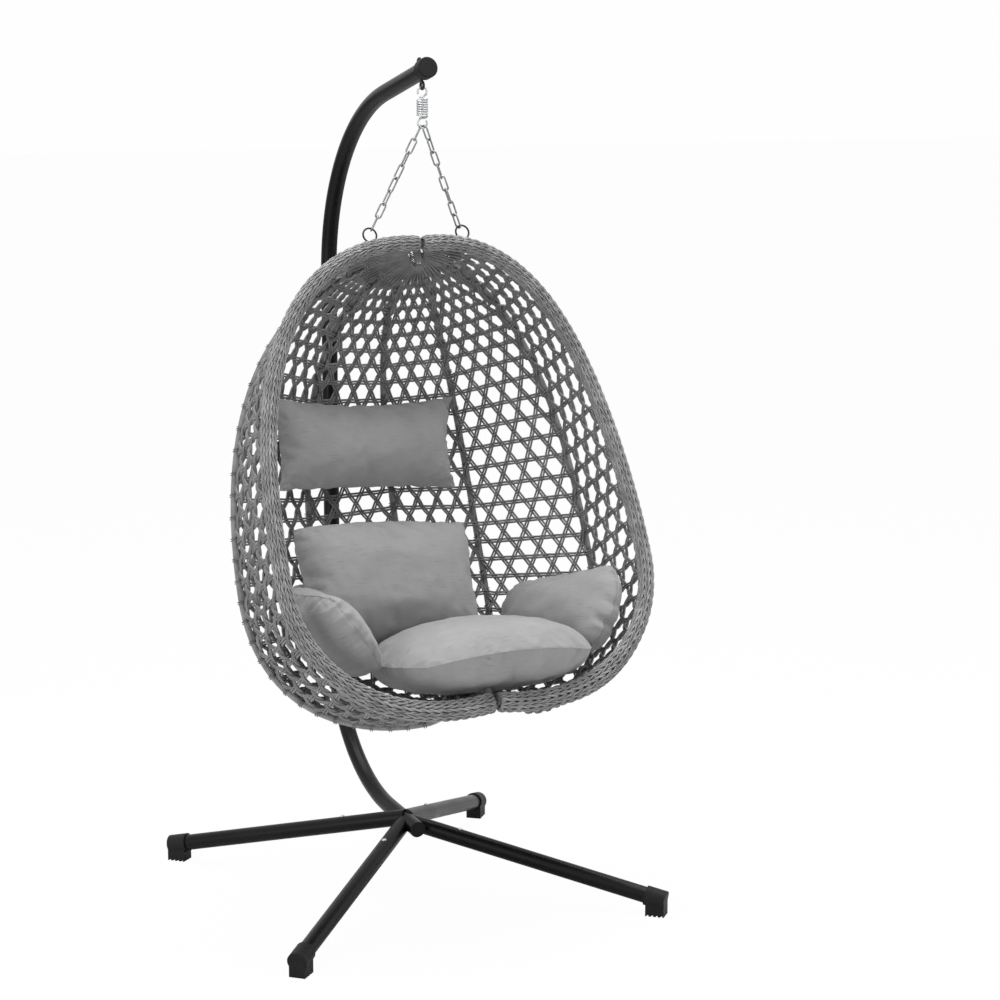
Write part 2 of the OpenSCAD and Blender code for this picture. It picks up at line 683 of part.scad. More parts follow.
// the wrapped ends of the rim are rounded
function rim_full(q) = let (e = max(0, min(1, (q[1] - 2) / rim_round)))
    0.5 + 0.5 * sqrt(1 - pow(1 - e, 2));
function rim_t(f) = rim_t0 + (2 - rim_t0 - rim_t1) * (f - 0.12 * sin(360 * f) / 2);
module rim(k) {
    rings = [for (i = [0:RIM_RINGS - 1]) let (
            t = rim_t(i / (RIM_RINGS - 1)), q = outline(k, t), d = heading(k, t),
            back = unit([0, 1, 0] - d * d[1]), across = cross(back, d), g = rim_full(q))
        oval(meridian(k, t), g * rim_w / 2 * across, g * rim_d / 2 * back, RIM_SIDES)];
    level = k == 0 ? lug_left_level : lug_right_level;
    in_basket() difference() {
        union() {
            skin(rings);
            for (up = [true, false]) rim_lug(sign(RIBS[k][0]), level, up);
        }
        for (up = [true, false]) translate([0, 0, (up ? -level : -basket_h + level) - eye_pitch / 2])
            cylinder(r = pin_r + pin_clear, h = eye_pitch);
    }
}
// a flat lug from the rim's end back to the pin
lug_len = 24;
lug_w = 11;
lug_turn = -50;
module rim_lug(side, level, up) {
    thick = eye_pitch - eye_gap;
    z = (up ? -level : -basket_h + level) - thick / 2;
    translate([0, 0, z]) {
        cylinder(r = eye_plate_r, h = thick);
        mirror([side < 0 ? 1 : 0, 0, 0]) rotate([0, 0, lug_turn]) translate([0, -lug_w / 2, 0])
            cube([lug_len, lug_w, thick]);
    }
}
module rim_left() { color("gray") rim(0); }
module rim_right() { color("gray") rim(6); }

// ---- woven walls: a sheet between two meridians, pierced by six-sided gaps ----
wall_from = 0.06;
wall_to = 0.935;
wall_gap = 0.9;
// how much of the chord w from rib k the rib takes, where the chord leaves it at a slant
function edge_share(k, f, chord) = let (t = even_t(k, f), c = unit(chord))
    ((is_rim(k) ? rim_w / 2 : rib_d / 2) + wall_gap)
        / (norm(chord) * norm(cross(c, heading(k, t))));
// a point of the wall, across from 0 to 1 and down from 0 to 1, lifted off its middle by h
function wall_point(k, a, b, h) = let (
        f = wall_from + (wall_to - wall_from) * b, e = 0.004,
        p = even_point(k, f), q = even_point(k + 1, f),
        u0 = edge_share(k, f, q - p), u1 = 1 - edge_share(k + 1, f, q - p), u = u0 + (u1 - u0) * a,
        down = (even_point(k, f + e) - even_point(k, f - e)) * (1 - u)
            + (even_point(k + 1, f + e) - even_point(k + 1, f - e)) * u,
        n = unit(cross(q - p, down)))
    p + (q - p) * u + h * n;
HEX = [[0.13, 0.5], [0.32, 0.13], [0.68, 0.13], [0.87, 0.5], [0.68, 0.87], [0.32, 0.87]];
// the sheet around one gap, as triangles between the cell's four corners (0-3) and the gap (4-9)
RING = [[0, 5, 4], [0, 1, 6], [0, 6, 5], [1, 7, 6], [1, 2, 7], [2, 8, 7], [2, 3, 9], [2, 9, 8],
    [3, 4, 9], [3, 0, 4]];
function reversed(f) = [f[2], f[1], f[0]];
module woven_wall(k) {
    na = gaps_across;
    nb = gaps_down;
    corners = (na + 1) * (nb + 1);
    cells = na * nb;
    side_points = corners + 6 * cells;
    points = [for (h = [-weave_t / 2, weave_t / 2]) each concat(
        [for (j = [0:nb], i = [0:na]) wall_point(k, i / na, j / nb, h)],
        [for (j = [0:nb - 1], i = [0:na - 1], v = HEX)
            wall_point(k, (i + v[0]) / na, (j + v[1]) / nb, h)])];
    function corner(i, j) = j * (na + 1) + i;
    function gap(i, j, v) = corners + 6 * (j * na + i) + v;
    function at(i, j, v) = v == 0 ? corner(i, j) : v == 1 ? corner(i + 1, j)
        : v == 2 ? corner(i + 1, j + 1) : v == 3 ? corner(i, j + 1) : gap(i, j, v - 4);
    sheet = [for (j = [0:nb - 1], i = [0:na - 1], t = RING) [for (v = t) at(i, j, v)]];
    rims = [for (j = [0:nb - 1], i = [0:na - 1], v = [0:5])
        [gap(i, j, v), gap(i, j, (v + 1) % 6)]];
    border = concat([for (i = [0:na - 1]) [corner(i + 1, 0), corner(i, 0)]],
        [for (i = [0:na - 1]) [corner(i, nb), corner(i + 1, nb)]],
        [for (j = [0:nb - 1]) [corner(0, j), corner(0, j + 1)]],
        [for (j = [0:nb - 1]) [corner(na, j + 1), corner(na, j)]]);
    low = [for (t = sheet) t];
    high = [for (t = sheet) reversed(t + [side_points, side_points, side_points])];
    walls = [for (e = concat(rims, border)) each [[e[0], e[1], e[1] + side_points],
        [e[0], e[1] + side_points, e[0] + side_points]]];
    color("gray") in_basket() polyhedron(points, concat(low, high, walls));
}
module weave_left_front() { woven_wall(0); }
module weave_left_side() { woven_wall(1); }
module weave_left_back() { woven_wall(2); }
module weave_right_back() { woven_wall(3); }
module weave_right_side() { woven_wall(4); }
module weave_right_front() { woven_wall(5); }

// ---- cushions ----
PILLOW_N = 12;
// spacing that crowds the rows towards the seam
function seam_step(i) = sin(90 * (2 * i / PILLOW_N - 1));
// crown: full in the middle, falling to the seam
function crown(u, v, sharp) = pow(max(0, 1 - pow(abs(u), sharp)), 0.5)
    * pow(max(0, 1 - pow(abs(v), sharp)), 0.5);
// outline: square cushions pull in between their corners, round ones bulge into a circle
function pillow_xy(u, v, w, h, draw, round) = let (
        sx = u * (1 - draw * (1 - v * v)), sy = v * (1 - draw * (1 - u * u)),
        cx = u * sqrt(1 - v * v / 2), cy = v * sqrt(1 - u * u / 2))
    [w / 2 * ((1 - round) * sx + round * cx), h / 2 * ((1 - round) * sy + round * cy)];
// bend curls the two sides forward, taper widens the top and flare the right-hand side
module pillow(w, h, t, draw = 0.05, round = 0, sharp = 4, bend = 0, taper = 0, flare = 0) {
    n = PILLOW_N;
    function inner(i, j) = i > 0 && i < n && j > 0 && j < n;
    function place(i, j, s) = let (u = seam_step(i), v = seam_step(j),
            p = pillow_xy(u, v, w, h, draw, round), k = 1 + taper * v)
        [p[0] * k, s * t / 2 * crown(u, v, sharp) - bend * u * u, p[1] * (1 + flare * u)];
    top = [for (j = [0:n], i = [0:n]) place(i, j, 1)];
    low = [for (j = [1:n - 1], i = [1:n - 1]) place(i, j, -1)];
    function ti(i, j) = j * (n + 1) + i;
    function li(i, j) = inner(i, j) ? (n + 1) * (n + 1) + (j - 1) * (n - 1) + i - 1 : ti(i, j);
    // each cell is split from its outer corner inwards, so that no triangle lies in the seam alone
    faces = [for (j = [0:n - 1], i = [0:n - 1]) each (i < n / 2) == (j < n / 2)
        ? [[ti(i, j), ti(i + 1, j), ti(i + 1, j + 1)], [ti(i, j), ti(i + 1, j + 1), ti(i, j + 1)],
            [li(i, j), li(i + 1, j + 1), li(i + 1, j)], [li(i, j), li(i, j + 1), li(i + 1, j + 1)]]
        : [[ti(i, j), ti(i + 1, j), ti(i, j + 1)], [ti(i + 1, j), ti(i + 1, j + 1), ti(i, j + 1)],
            [li(i, j), li(i, j + 1), li(i + 1, j)], [li(i + 1, j), li(i, j + 1), li(i + 1, j + 1)]]];
    polyhedron(concat(top, low), faces);
}
// where each cushion lies in the basket: side, back, down the hinge line
HEAD_AT = [-88, 271.5, 0.3723 * basket_h];
BACK_AT = [-98, 244, 0.6905 * basket_h];
// the seat keeps its height over the bottom of the rim
seat_rise = 124;
SEAT_AT = [34, 86, min(basket_h - seat_rise, 0.88 * basket_h)];
// the arm cushions lie along the walls; the left one has slid forward, down and inward a little
ARM_RIGHT_AT = [306, 154, 0.8104 * basket_h];
ARM_RIGHT_TURN = [22, -11, 112];
ARM_LEFT_AT = [306, 148, 0.793 * basket_h];
ARM_LEFT_TURN = [18, -24, 106];
module head_pillow() {
    color("darkgray") in_basket() translate([HEAD_AT[0], HEAD_AT[1], -HEAD_AT[2]])
        rotate([0, 0, 6]) rotate([4, 2, 0]) pillow(head_w, head_h, head_t, draw = 0.06, bend = 22);
}
module back_cushion() {
    color("darkgray") in_basket() translate([BACK_AT[0], BACK_AT[1], -BACK_AT[2]])
        rotate([0, 0, 6]) rotate([-4, 1.5, 0])
            pillow(back_w, back_h, back_t, draw = 0.03, bend = 20, taper = 0.11);
}
module seat_cushion() {
    color("darkgray") in_basket() translate([SEAT_AT[0], SEAT_AT[1], -SEAT_AT[2]])
        rotate([90 + 12, 0, 0]) pillow(seat_w, seat_l, seat_t, draw = 0, round = 0.85, sharp = 3);
}
module arm_cushion(side, at, turn) {
    color("darkgray") in_basket() mirror([side < 0 ? 1 : 0, 0, 0])
        translate([at[0], at[1], -at[2]]) rotate([0, 0, turn[2]]) rotate([turn[0], 0, 0])
            rotate([0, turn[1], 0]) pillow(arm_l, arm_h, arm_t, draw = 0, round = 0.6,
                sharp = 3, bend = -34, flare = -0.2);
}
module arm_cushion_left() { arm_cushion(-1, ARM_LEFT_AT, ARM_LEFT_TURN); }
module arm_cushion_right() { arm_cushion(1, ARM_RIGHT_AT, ARM_RIGHT_TURN); }

post_lower();
post_upper();
post_sleeve();
post_screws();
leg_sockets();
leg_front_left();
leg_front_right();
leg_rear_left();
leg_rear_right();
leg_screws();
foot_front_left();
foot_front_right();
foot_rear_left();
foot_rear_right();
tail_plug();
arm_cap();
eye_bolt();
eye_nut();
spring_coil();
spring_hook();
chain_top_links();
chain_left();
chain_right();
ring_left();
ring_right();
hinge_pin_top();
hinge_pin_bottom();
rib_middle();
rib_left_inner();
rib_left_outer();
rib_right_inner();
rib_right_outer();
rim_left();
rim_right();
weave_left_front();
weave_left_side();
weave_left_back();
weave_right_front();
weave_right_side();
weave_right_back();
head_pillow();
back_cushion();
seat_cushion();
arm_cushion_left();
arm_cushion_right();
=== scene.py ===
# %% [markdown]
# # A hanging egg chair, dressed in Blender
# The frame that is loaded here is a finished CAD model: a C-shaped post on four legs, a spring,
# two chains and a basket of ribs that folds like a fan. This lesson adds what CAD leaves plain:
# the braided rim, the wrapped ribs, the six-way cane weave and the five soft cushions.
# Everything is in metres, and every CAD piece already stands where it belongs.

# %% Load the frame
import math

import bpy
import numpy as np
from mathutils import Matrix, Vector


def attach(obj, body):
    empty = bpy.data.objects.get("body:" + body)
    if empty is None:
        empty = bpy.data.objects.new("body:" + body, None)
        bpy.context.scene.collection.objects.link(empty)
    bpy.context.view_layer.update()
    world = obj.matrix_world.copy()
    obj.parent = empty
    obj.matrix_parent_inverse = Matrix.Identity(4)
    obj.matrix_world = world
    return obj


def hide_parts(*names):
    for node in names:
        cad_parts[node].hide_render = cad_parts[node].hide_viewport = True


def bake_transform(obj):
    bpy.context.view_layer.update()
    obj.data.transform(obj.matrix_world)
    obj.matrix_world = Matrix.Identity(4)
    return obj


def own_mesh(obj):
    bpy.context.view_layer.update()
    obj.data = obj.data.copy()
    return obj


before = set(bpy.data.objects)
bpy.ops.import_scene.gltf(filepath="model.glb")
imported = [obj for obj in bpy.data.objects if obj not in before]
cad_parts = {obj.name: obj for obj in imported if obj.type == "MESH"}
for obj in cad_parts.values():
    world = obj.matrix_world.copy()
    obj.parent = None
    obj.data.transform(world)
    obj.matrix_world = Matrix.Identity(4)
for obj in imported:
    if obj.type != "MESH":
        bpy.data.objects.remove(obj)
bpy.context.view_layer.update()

# %% [markdown]
# ## Camera
# A camera's viewing angle decides how an object looks before any material does. This one stands
# well back with a long lens, turned 26 degrees to the left of the chair and ten degrees above
# it, as for a catalogue picture. The picture is square, so the lens follows from its width alone.

# %% Camera
eye = bpy.data.cameras.new("camera")
eye.lens, eye.sensor_width = 91.98, 36
LOOK_DOWN, TURNED_RIGHT = 9.88, 26.38
camera = bpy.data.objects.new("camera", eye)
camera.location = (-2.3888, -5.3076, 1.9527)
camera.rotation_euler = (math.radians(90 - LOOK_DOWN), 0, math.radians(-TURNED_RIGHT))
bpy.context.scene.collection.objects.link(camera)
bpy.context.scene.camera = camera
bpy.context.scene.view_settings.view_transform = "Standard"
print("camera", [round(v, 3) for v in camera.location], "lens", eye.lens)

# %% [markdown]
# ## Helpers
# Blender's operators act on whatever is selected, so a small function selects one object and
# nothing else before each step. The others apply a modifier, join parts, run mesh operators on a
# whole mesh, and read or move its points.

# %% Selecting, joining and editing
def only(obj):
    if bpy.context.mode != "OBJECT":
        bpy.ops.object.mode_set(mode="OBJECT")
    bpy.ops.object.select_all(action="DESELECT")
    obj.select_set(True)
    bpy.context.view_layer.objects.active = obj
    return obj


def apply_modifier(obj, kind, name, **settings):
    only(obj)
    modifier = obj.modifiers.new(name, kind)
    for key, value in settings.items():
        setattr(modifier, key, value)
    bpy.ops.object.modifier_apply(modifier=name)
    return obj


def joined(name, parts):
    only(parts[0])
    for part in parts[1:]:
        part.select_set(True)
    if len(parts) > 1:
        bpy.ops.object.join()
    parts[0].name = parts[0].data.name = name
    return parts[0]


def edit_mesh(obj, *steps):
    """Mesh operators with their settings, each run on the whole mesh."""
    only(obj)
    bpy.ops.object.mode_set(mode="EDIT")
    for operator, settings in steps:
        bpy.ops.mesh.select_all(action="SELECT")
        operator(**settings)
    bpy.ops.object.mode_set(mode="OBJECT")
    return obj


def points_of(obj, kind="co"):
    """Places of the vertices, or their normals, as rows of x, y and z."""
    values = np.empty(len(obj.data.vertices) * 3)
    obj.data.vertices.foreach_get(kind, values)
    return values.reshape(-1, 3)


def move_points(obj, points):
    obj.data.vertices.foreach_set("co", points.ravel())
    obj.data.update()


def coat(obj, material):
    obj.data.materials.clear()
    obj.data.materials.append(material)


def triangles(obj):
    return sum(len(p.vertices) - 2 for p in obj.data.polygons)


print("helpers ready")

# %% [markdown]
# ## Materials
# A material starts from what the real one is. Colours are written as screen colours and turned
# to linear light by one function. Another adds a node, sets it up and links it, and a few short
# ones add the nodes that every recipe below uses, so that a recipe reads as a list. The scale of
# a pattern is a count per metre.

# %% Functions for every material
def linear(hexa):
    parts = [int(hexa[i:i + 2], 16) / 255 for i in (1, 3, 5)]
    return (*[v / 12.92 if v <= 0.04045 else ((v + 0.055) / 1.055) ** 2.4 for v in parts], 1)


def add(material, kind, links=None, values=None, **settings):
    node = material.node_tree.nodes.new("ShaderNode" + kind)
    for key, value in settings.items():
        setattr(node, key, value)
    for socket, value in (values or {}).items():
        node.inputs[socket].default_value = value
    for socket, (source, output) in (links or {}).items():
        material.node_tree.links.new(source.outputs[output], node.inputs[socket])
    return node


def new_material(name):
    material = bpy.data.materials.new(name)
    material.use_nodes = True
    material.node_tree.nodes.clear()
    return material


def noise(material, place, scale, detail, roughness=0.5):
    return add(material, "TexNoise", {"Vector": place},
               {"Scale": scale, "Detail": detail, "Roughness": roughness}), "Fac"


def cells(material, place, scale):
    return add(material, "TexVoronoi", {"Vector": place}, {"Scale": scale}), "Distance"


def stretched(material, output, scale):
    spot = add(material, "TexCoord")
    return add(material, "Mapping", {"Vector": (spot, output)}, {"Scale": scale}), "Vector"


def ramp(material, source, *stops):
    node = add(material, "ValToRGB", {"Fac": source})
    while len(node.color_ramp.elements) < len(stops):
        node.color_ramp.elements.new(0.5)
    for element, (place, hexa) in zip(node.color_ramp.elements, stops):
        element.position = place
        element.color = linear(hexa)
    return node, "Color"


def between(material, source, low, high, start=0, end=1):
    return add(material, "MapRange", {"Value": source},
               {"From Min": start, "From Max": end, "To Min": low, "To Max": high}), "Result"


def bump(material, height, strength, distance):
    return add(material, "Bump", {"Height": height},
               {"Strength": strength, "Distance": distance}), "Normal"


def surface(material, links, values):
    shader = add(material, "BsdfPrincipled", links, values)
    add(material, "OutputMaterial", {"Surface": (shader, "BSDF")})
    print("made", material.name)
    return material


print("mid grey in linear light", round(linear("#808080")[0], 3))

# %% [markdown]
# ### Powder-coated steel tube
# The stand is mild steel tube under a black polyester powder coat. Powder melts into a skin with
# a faint orange peel about 3 mm across, satin rather than glossy, and handling leaves the gloss
# a little uneven. The base colour is dark grey, never pure black, so that soft lights model it.

# %% Powder coat
m = new_material("black powder coat on steel")
spot = (add(m, "TexCoord"), "Object")
peel = noise(m, spot, 330, 2)
handling = noise(m, spot, 9, 6, 0.6)
tone = ramp(m, handling, (0.30, "#0d0d0e"), (0.75, "#151516"))
satin = between(m, handling, 0.26, 0.38, 0.3, 0.7)
skin = bump(m, peel, 0.10, 0.0004)
powder_coat = surface(m, {"Base Color": tone, "Roughness": satin, "Normal": skin},
                      {"IOR": 1.5, "Specular IOR Level": 0.16})

# %% [markdown]
# ### Moulded black plastic
# Foot caps, the arm cap and the tail plug are polypropylene from a spark-eroded mould, which
# gives them a fine matt grain. It is drawn here at 1.2 mm, coarser than the real 0.3 mm, so that
# it still shows at a metre's distance.

# %% Moulded plastic
m = new_material("moulded black polypropylene")
spot = (add(m, "TexCoord"), "Object")
grain = cells(m, spot, 830)
cloud = noise(m, spot, 26, 4)
tone = ramp(m, cloud, (0.3, "#0e0e0e"), (0.8, "#161616"))
matt = between(m, cloud, 0.48, 0.62)
skin = bump(m, grain, 0.2, 0.0003)
moulded_plastic = surface(m, {"Base Color": tone, "Roughness": matt, "Normal": skin},
                          {"IOR": 1.49, "Specular IOR Level": 0.22})

# %% [markdown]
# ### Black-coated hardware and bright zinc
# The eye bolt, its nut and the two rings are steel wire with a thin black coat that rubs through
# to metal in places. Spring, hook, chains and screws are zinc plated: a bright bluish metal whose
# crystals cloud the shine in patches a few millimetres wide. On the chains it has gone darker.

# %% Black-coated hardware
m = new_material("black-coated steel wire")
spot = (add(m, "TexCoord"), "Object")
rub = noise(m, spot, 160, 5, 0.65)
tone = ramp(m, rub, (0.50, "#1d1d1e"), (0.66, "#3a3a3b"), (0.74, "#6b6b6d"))
shine = between(m, rub, 0.42, 0.26)
skin = bump(m, rub, 0.15, 0.0002)
black_hardware = surface(m, {"Base Color": tone, "Roughness": shine, "Normal": skin},
                         {"Metallic": 0.35})


# %% Zinc plating
def zinc(name, dark, light, smooth_spot, dull_spot):
    m = new_material(name)
    spot = (add(m, "TexCoord"), "Object")
    smear = noise(m, spot, 70, 4)
    tone = ramp(m, smear, (0.25, dark), (0.75, light))
    gloss = between(m, cells(m, spot, 260), smooth_spot, dull_spot)
    skin = bump(m, smear, 0.12, 0.0002)
    return surface(m, {"Base Color": tone, "Roughness": gloss, "Normal": skin}, {"Metallic": 1.0})


zinc_steel = zinc("zinc-plated steel", "#b4b6b8", "#d8dadb", 0.34, 0.48)
chain_steel = zinc("zinc-plated chain wire", "#828486", "#a9abad", 0.22, 0.38)

# %% Plain steel, drawn along Z
m = new_material("drawn steel")
lines = noise(m, stretched(m, "Object", (900, 900, 18)), 1, 3)
tone = ramp(m, lines, (0.3, "#7c7c7e"), (0.7, "#a2a2a5"))
shine = between(m, lines, 0.30, 0.46)
plain_steel = surface(m, {"Base Color": tone, "Roughness": shine}, {"Metallic": 1.0})

# %% [markdown]
# ### Wicker strand
# The strand is extruded polyethylene, not cane. The die leaves fine lines along it and the
# grey pigment streaks a little, so the tone changes slowly from strand to strand. Three tones are
# made from the same recipe: the lightest for the braid on the rim, a middle one for the winding
# on the ribs and the darkest for the weave.

# %% Wicker strand
def strand_material(name, dark, middle, light, rough):
    m = new_material(name)
    spot = (add(m, "TexCoord"), "Object")
    drift = noise(m, spot, 38, 3)
    tone = ramp(m, drift, (0.28, dark), (0.5, middle), (0.74, light))
    gloss = between(m, drift, rough - 0.06, rough + 0.08)
    ridges = bump(m, noise(m, spot, 900, 2), 0.25, 0.0004)
    return surface(m, {"Base Color": tone, "Roughness": gloss, "Normal": ridges}, {"IOR": 1.5})


rim_strand = strand_material("braided polyethylene strand", "#7c7c7c", "#929292", "#a8a8a8", 0.50)
weave_strand = strand_material("woven polyethylene strand", "#6a6a6a", "#7d7d7d", "#909090", 0.48)
rib_strand = strand_material("wound polyethylene strand", "#787878", "#898989", "#9a9a9a", 0.46)

# %% [markdown]
# ### Cushion cloth
# The covers are a heavy polyester plain weave with slubs: now and then a thread swells for a few
# centimetres, and these thick places lie across the cushion. Threads are 0.5 mm apart on the
# real cloth and are drawn about 1.6 mm wide, each a long thin cloud of noise, because a regular
# grid this fine would show as rings. The cloth scatters light at its edges, which is sheen.

# %% Cushion cloth
m = new_material("slubby polyester plain weave")
slubs = noise(m, stretched(m, "UV", (26, 430, 1)), 1, 2, 0.45)
slub_mask = between(m, slubs, 0, 1, 0.60, 0.78)
weft = noise(m, stretched(m, "UV", (90, 620, 1)), 1, 3, 0.6)
warp = noise(m, stretched(m, "UV", (620, 90, 1)), 1, 3, 0.6)
fade = noise(m, (add(m, "TexCoord"), "Object"), 7, 4)
tone = ramp(m, fade, (0.25, "#949494"), (0.75, "#a4a4a4"))
slub_tone = add(m, "MixRGB", {"Fac": slub_mask, "Color1": tone}, {"Color2": linear("#858585")})
threads = add(m, "Math", {0: weft, 1: warp}, operation="ADD")
height = add(m, "Math", {0: (threads, "Value"), 1: slub_mask}, operation="ADD")
skin = bump(m, (height, "Value"), 0.5, 0.0008)
cushion_cloth = surface(m, {"Base Color": (slub_tone, "Color"), "Normal": skin},
                        {"Roughness": 0.88, "Sheen Weight": 0.25, "Sheen Roughness": 0.45,
                         "Specular IOR Level": 0.25})

# %% [markdown]
# ## Finish on the CAD pieces that stay
# Tubes, caps, bolts and links are exact in CAD, so they keep their shape and only get their
# finish.

# %% Dress the CAD pieces
FINISH = {
    powder_coat: ["post_lower", "post_upper", "leg_sockets", "leg_front_left", "leg_front_right",
                  "leg_rear_left", "leg_rear_right"],
    moulded_plastic: ["foot_front_left", "foot_front_right", "foot_rear_left", "foot_rear_right",
                      "tail_plug", "arm_cap"],
    black_hardware: ["eye_bolt", "eye_nut", "ring_left", "ring_right"],
    zinc_steel: ["spring_hook", "post_screws", "leg_screws"],
    chain_steel: ["chain_top_links"],
    plain_steel: ["post_sleeve", "hinge_pin_top", "hinge_pin_bottom"],
}
for material, names in FINISH.items():
    for name in names:
        coat(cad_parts[name], material)
print("dressed", sum(len(v) for v in FINISH.values()), "CAD pieces")

# %% [markdown]
# ## Studio
# A catalogue picture has a white background and soft light. Here one wide lamp overhead does most
# of the work, and two weaker ones lift the left and the right side. The world is white for the
# camera and for reflections, and much weaker as a light, so that the lamps can shape the cushions.
# The floor is a pale sheet that mixes a matt shader, which takes the shadow, with white for the
# camera, so that the shadow stays faint.

# %% World
world = bpy.data.worlds.new("studio")
world.use_nodes = True
bpy.context.scene.world = world
world.node_tree.nodes.clear()
path = add(world, "LightPath")
seen = add(world, "Math", {0: (path, "Is Camera Ray"), 1: (path, "Is Glossy Ray")},
           operation="MAXIMUM")
clear = add(world, "Math", {0: (seen, "Value"), 1: (path, "Is Transmission Ray")},
            operation="MAXIMUM")
ambient = add(world, "Background", values={"Color": linear("#ffffff"), "Strength": 0.3})
white = add(world, "Background", values={"Color": linear("#fefefe"), "Strength": 1.0})
both = add(world, "MixShader", {0: (clear, "Value"), 1: (ambient, "Background"),
                                2: (white, "Background")})
add(world, "OutputWorld", {"Surface": (both, "Shader")})
print("world ready")


# %% Lamps
def lamp(name, place, target, size, watts):
    data = bpy.data.lights.new(name, "AREA")
    data.shape = "RECTANGLE"
    data.size, data.size_y = size
    data.energy = watts
    obj = bpy.data.objects.new(name, data)
    obj.location = place
    obj.rotation_euler = (Vector(target) - Vector(place)).to_track_quat("-Z", "Y").to_euler()
    bpy.context.scene.collection.objects.link(obj)
    return obj


lamps = [lamp("overhead", (0, -0.2, 4.6), (0, -0.2, 0), (4.6, 3), 200),
         lamp("left side", (-4.0, -1.4, 1.8), (0, 0, 0.9), (1.8, 2.6), 44),
         lamp("right side", (2.8, -2.8, 2.8), (-0.2, 0, 0.9), (1.8, 2.4), 34)]
print("lamps", [obj.name for obj in lamps])

# %% Floor
bpy.ops.object.select_all(action="DESELECT")
bpy.ops.mesh.primitive_plane_add(size=90)
floor = only(bpy.context.view_layer.objects.active)
floor.name = "studio_floor"
m = new_material("white paper floor")
FLOOR_WHITE = 0.975
path = add(m, "LightPath")
spot = (add(m, "TexCoord"), "Object")
tooth = noise(m, spot, 40, 3)
skin = bump(m, tooth, 0.05, 0.001)
matt = add(m, "BsdfDiffuse", {"Normal": skin}, {"Color": linear("#f4f4f4")})
white = add(m, "Emission", values={"Color": linear("#ffffff"), "Strength": 1.0})
share = add(m, "Math", {0: (path, "Is Camera Ray")}, {1: FLOOR_WHITE}, operation="MULTIPLY")
both = add(m, "MixShader", {0: (share, "Value"), 1: (matt, "BSDF"), 2: (white, "Emission")})
add(m, "OutputMaterial", {"Surface": (both, "Shader")})
coat(floor, m)
print("floor ready")

# %% [markdown]
# ## The basket's own coordinates
# The ribs and the rim fan out from one leaning hinge line. Each is a curve of two Bezier arcs
# that meet where the basket is widest. The same curves that shaped the CAD ribs are worked out
# again here, as points, so that strands can follow them: side, back from the hinge line, and
# down it. `upright` turns such points into the scene and `leaning` turns them back. The rim also
# bows out of its plane: its ends lie 30 mm in front of the hinge line, its upper sides behind it.

# %% Rib curves
HEIGHT, TILT = 1.034, math.radians(21.1)
HINGE_TOP = (-0.0662, 1.5265)
RIM_REACH, OUTER_REACH, INNER_REACH, BACK_REACH = 0.438, 0.508, 0.424, 0.352
RIM_SHAPE = (0.716, 0.105, 0.806, 0.165, 0.676, 0.043)
OUTER_SHAPE = (0.690, 0.380, 0.587, 0.338, 0.311, 0.064)
INNER_SHAPE = (0.659, 0.564, 0.448, 0.144, 0.943, 0.034)
BACK_SHAPE = (0.645, 0.426, 0.577, 0.144, 1.000, 0.029)
# fan angle, reach, shape, and how far the ends lie inside the ends of the hinge line
RIBS = [(-90, RIM_REACH, RIM_SHAPE, 0), (-60, OUTER_REACH, OUTER_SHAPE, 0.0049),
        (-30, INNER_REACH, INNER_SHAPE, 0.0189), (0, BACK_REACH, BACK_SHAPE, 0.0329),
        (30, INNER_REACH, INNER_SHAPE, 0.0259), (60, OUTER_REACH, OUTER_SHAPE, 0.0119),
        (90, RIM_REACH, RIM_SHAPE, 0)]
RIM_NODES, STEPS = (0, 6), 400
RIB_START = 0.014
RIM_BACK, RIM_BOW, RIM_TWIST = -0.030, 0.041, 0.88


def smooth(t):
    t = np.clip(t, 0, 1)
    return t * t * (3 - 2 * t)


def unit(v):
    return v / np.linalg.norm(v, axis=-1, keepdims=True)


def bezier(a, b, c, d, t):
    t = t[:, None]
    a, b, c, d = (np.array(v, float) for v in (a, b, c, d))
    return (1 - t) ** 3 * a + 3 * (1 - t) ** 2 * t * b + 3 * (1 - t) * t ** 2 * c + t ** 3 * d


def meridian(k, t):
    fan, reach, shape, level = RIBS[k]
    start = 0 if k in RIM_NODES else RIB_START
    widest, high, before, after, low, below = shape
    wide = (widest * HEIGHT, reach)
    upper = bezier((level, start), (level, high * reach), (wide[0] - before * HEIGHT, reach), wide,
                   np.clip(t, 0, 1))
    lower = bezier(wide, (wide[0] + after * HEIGHT, reach), ((1 + below) * HEIGHT, low * reach),
                   (HEIGHT - level, start), np.clip(t - 1, 0, 1))
    down, out = np.where(t[:, None] <= 1, upper, lower).T
    if k in RIM_NODES:
        turn = np.arctan2(down - HEIGHT / 2, out)
        back = RIM_BACK + RIM_BOW * np.cos(turn) * (1 - RIM_TWIST * np.sin(turn))
        return np.stack([math.copysign(1, fan) * out, back, down], 1)
    angle = math.radians(fan)
    return np.stack([out * math.sin(angle), out * math.cos(angle), down], 1)


TABLE_T = np.linspace(0, 2, STEPS + 1)
CURVES = [meridian(k, TABLE_T) for k in range(len(RIBS))]
LENGTHS = [np.concatenate([[0], np.cumsum(np.linalg.norm(np.diff(c, axis=0), axis=1))])
           for c in CURVES]


def along(k, share):
    """Points of rib k at shares of its length."""
    s = np.asarray(share, float) * LENGTHS[k][-1]
    return np.stack([np.interp(s, LENGTHS[k], CURVES[k][:, i]) for i in range(3)], 1)


def upright(points):
    p = np.asarray(points, float)
    y = HINGE_TOP[0] + p[..., 1] * math.cos(TILT) - p[..., 2] * math.sin(TILT)
    z = HINGE_TOP[1] - p[..., 1] * math.sin(TILT) - p[..., 2] * math.cos(TILT)
    return np.stack([p[..., 0], y, z], -1)


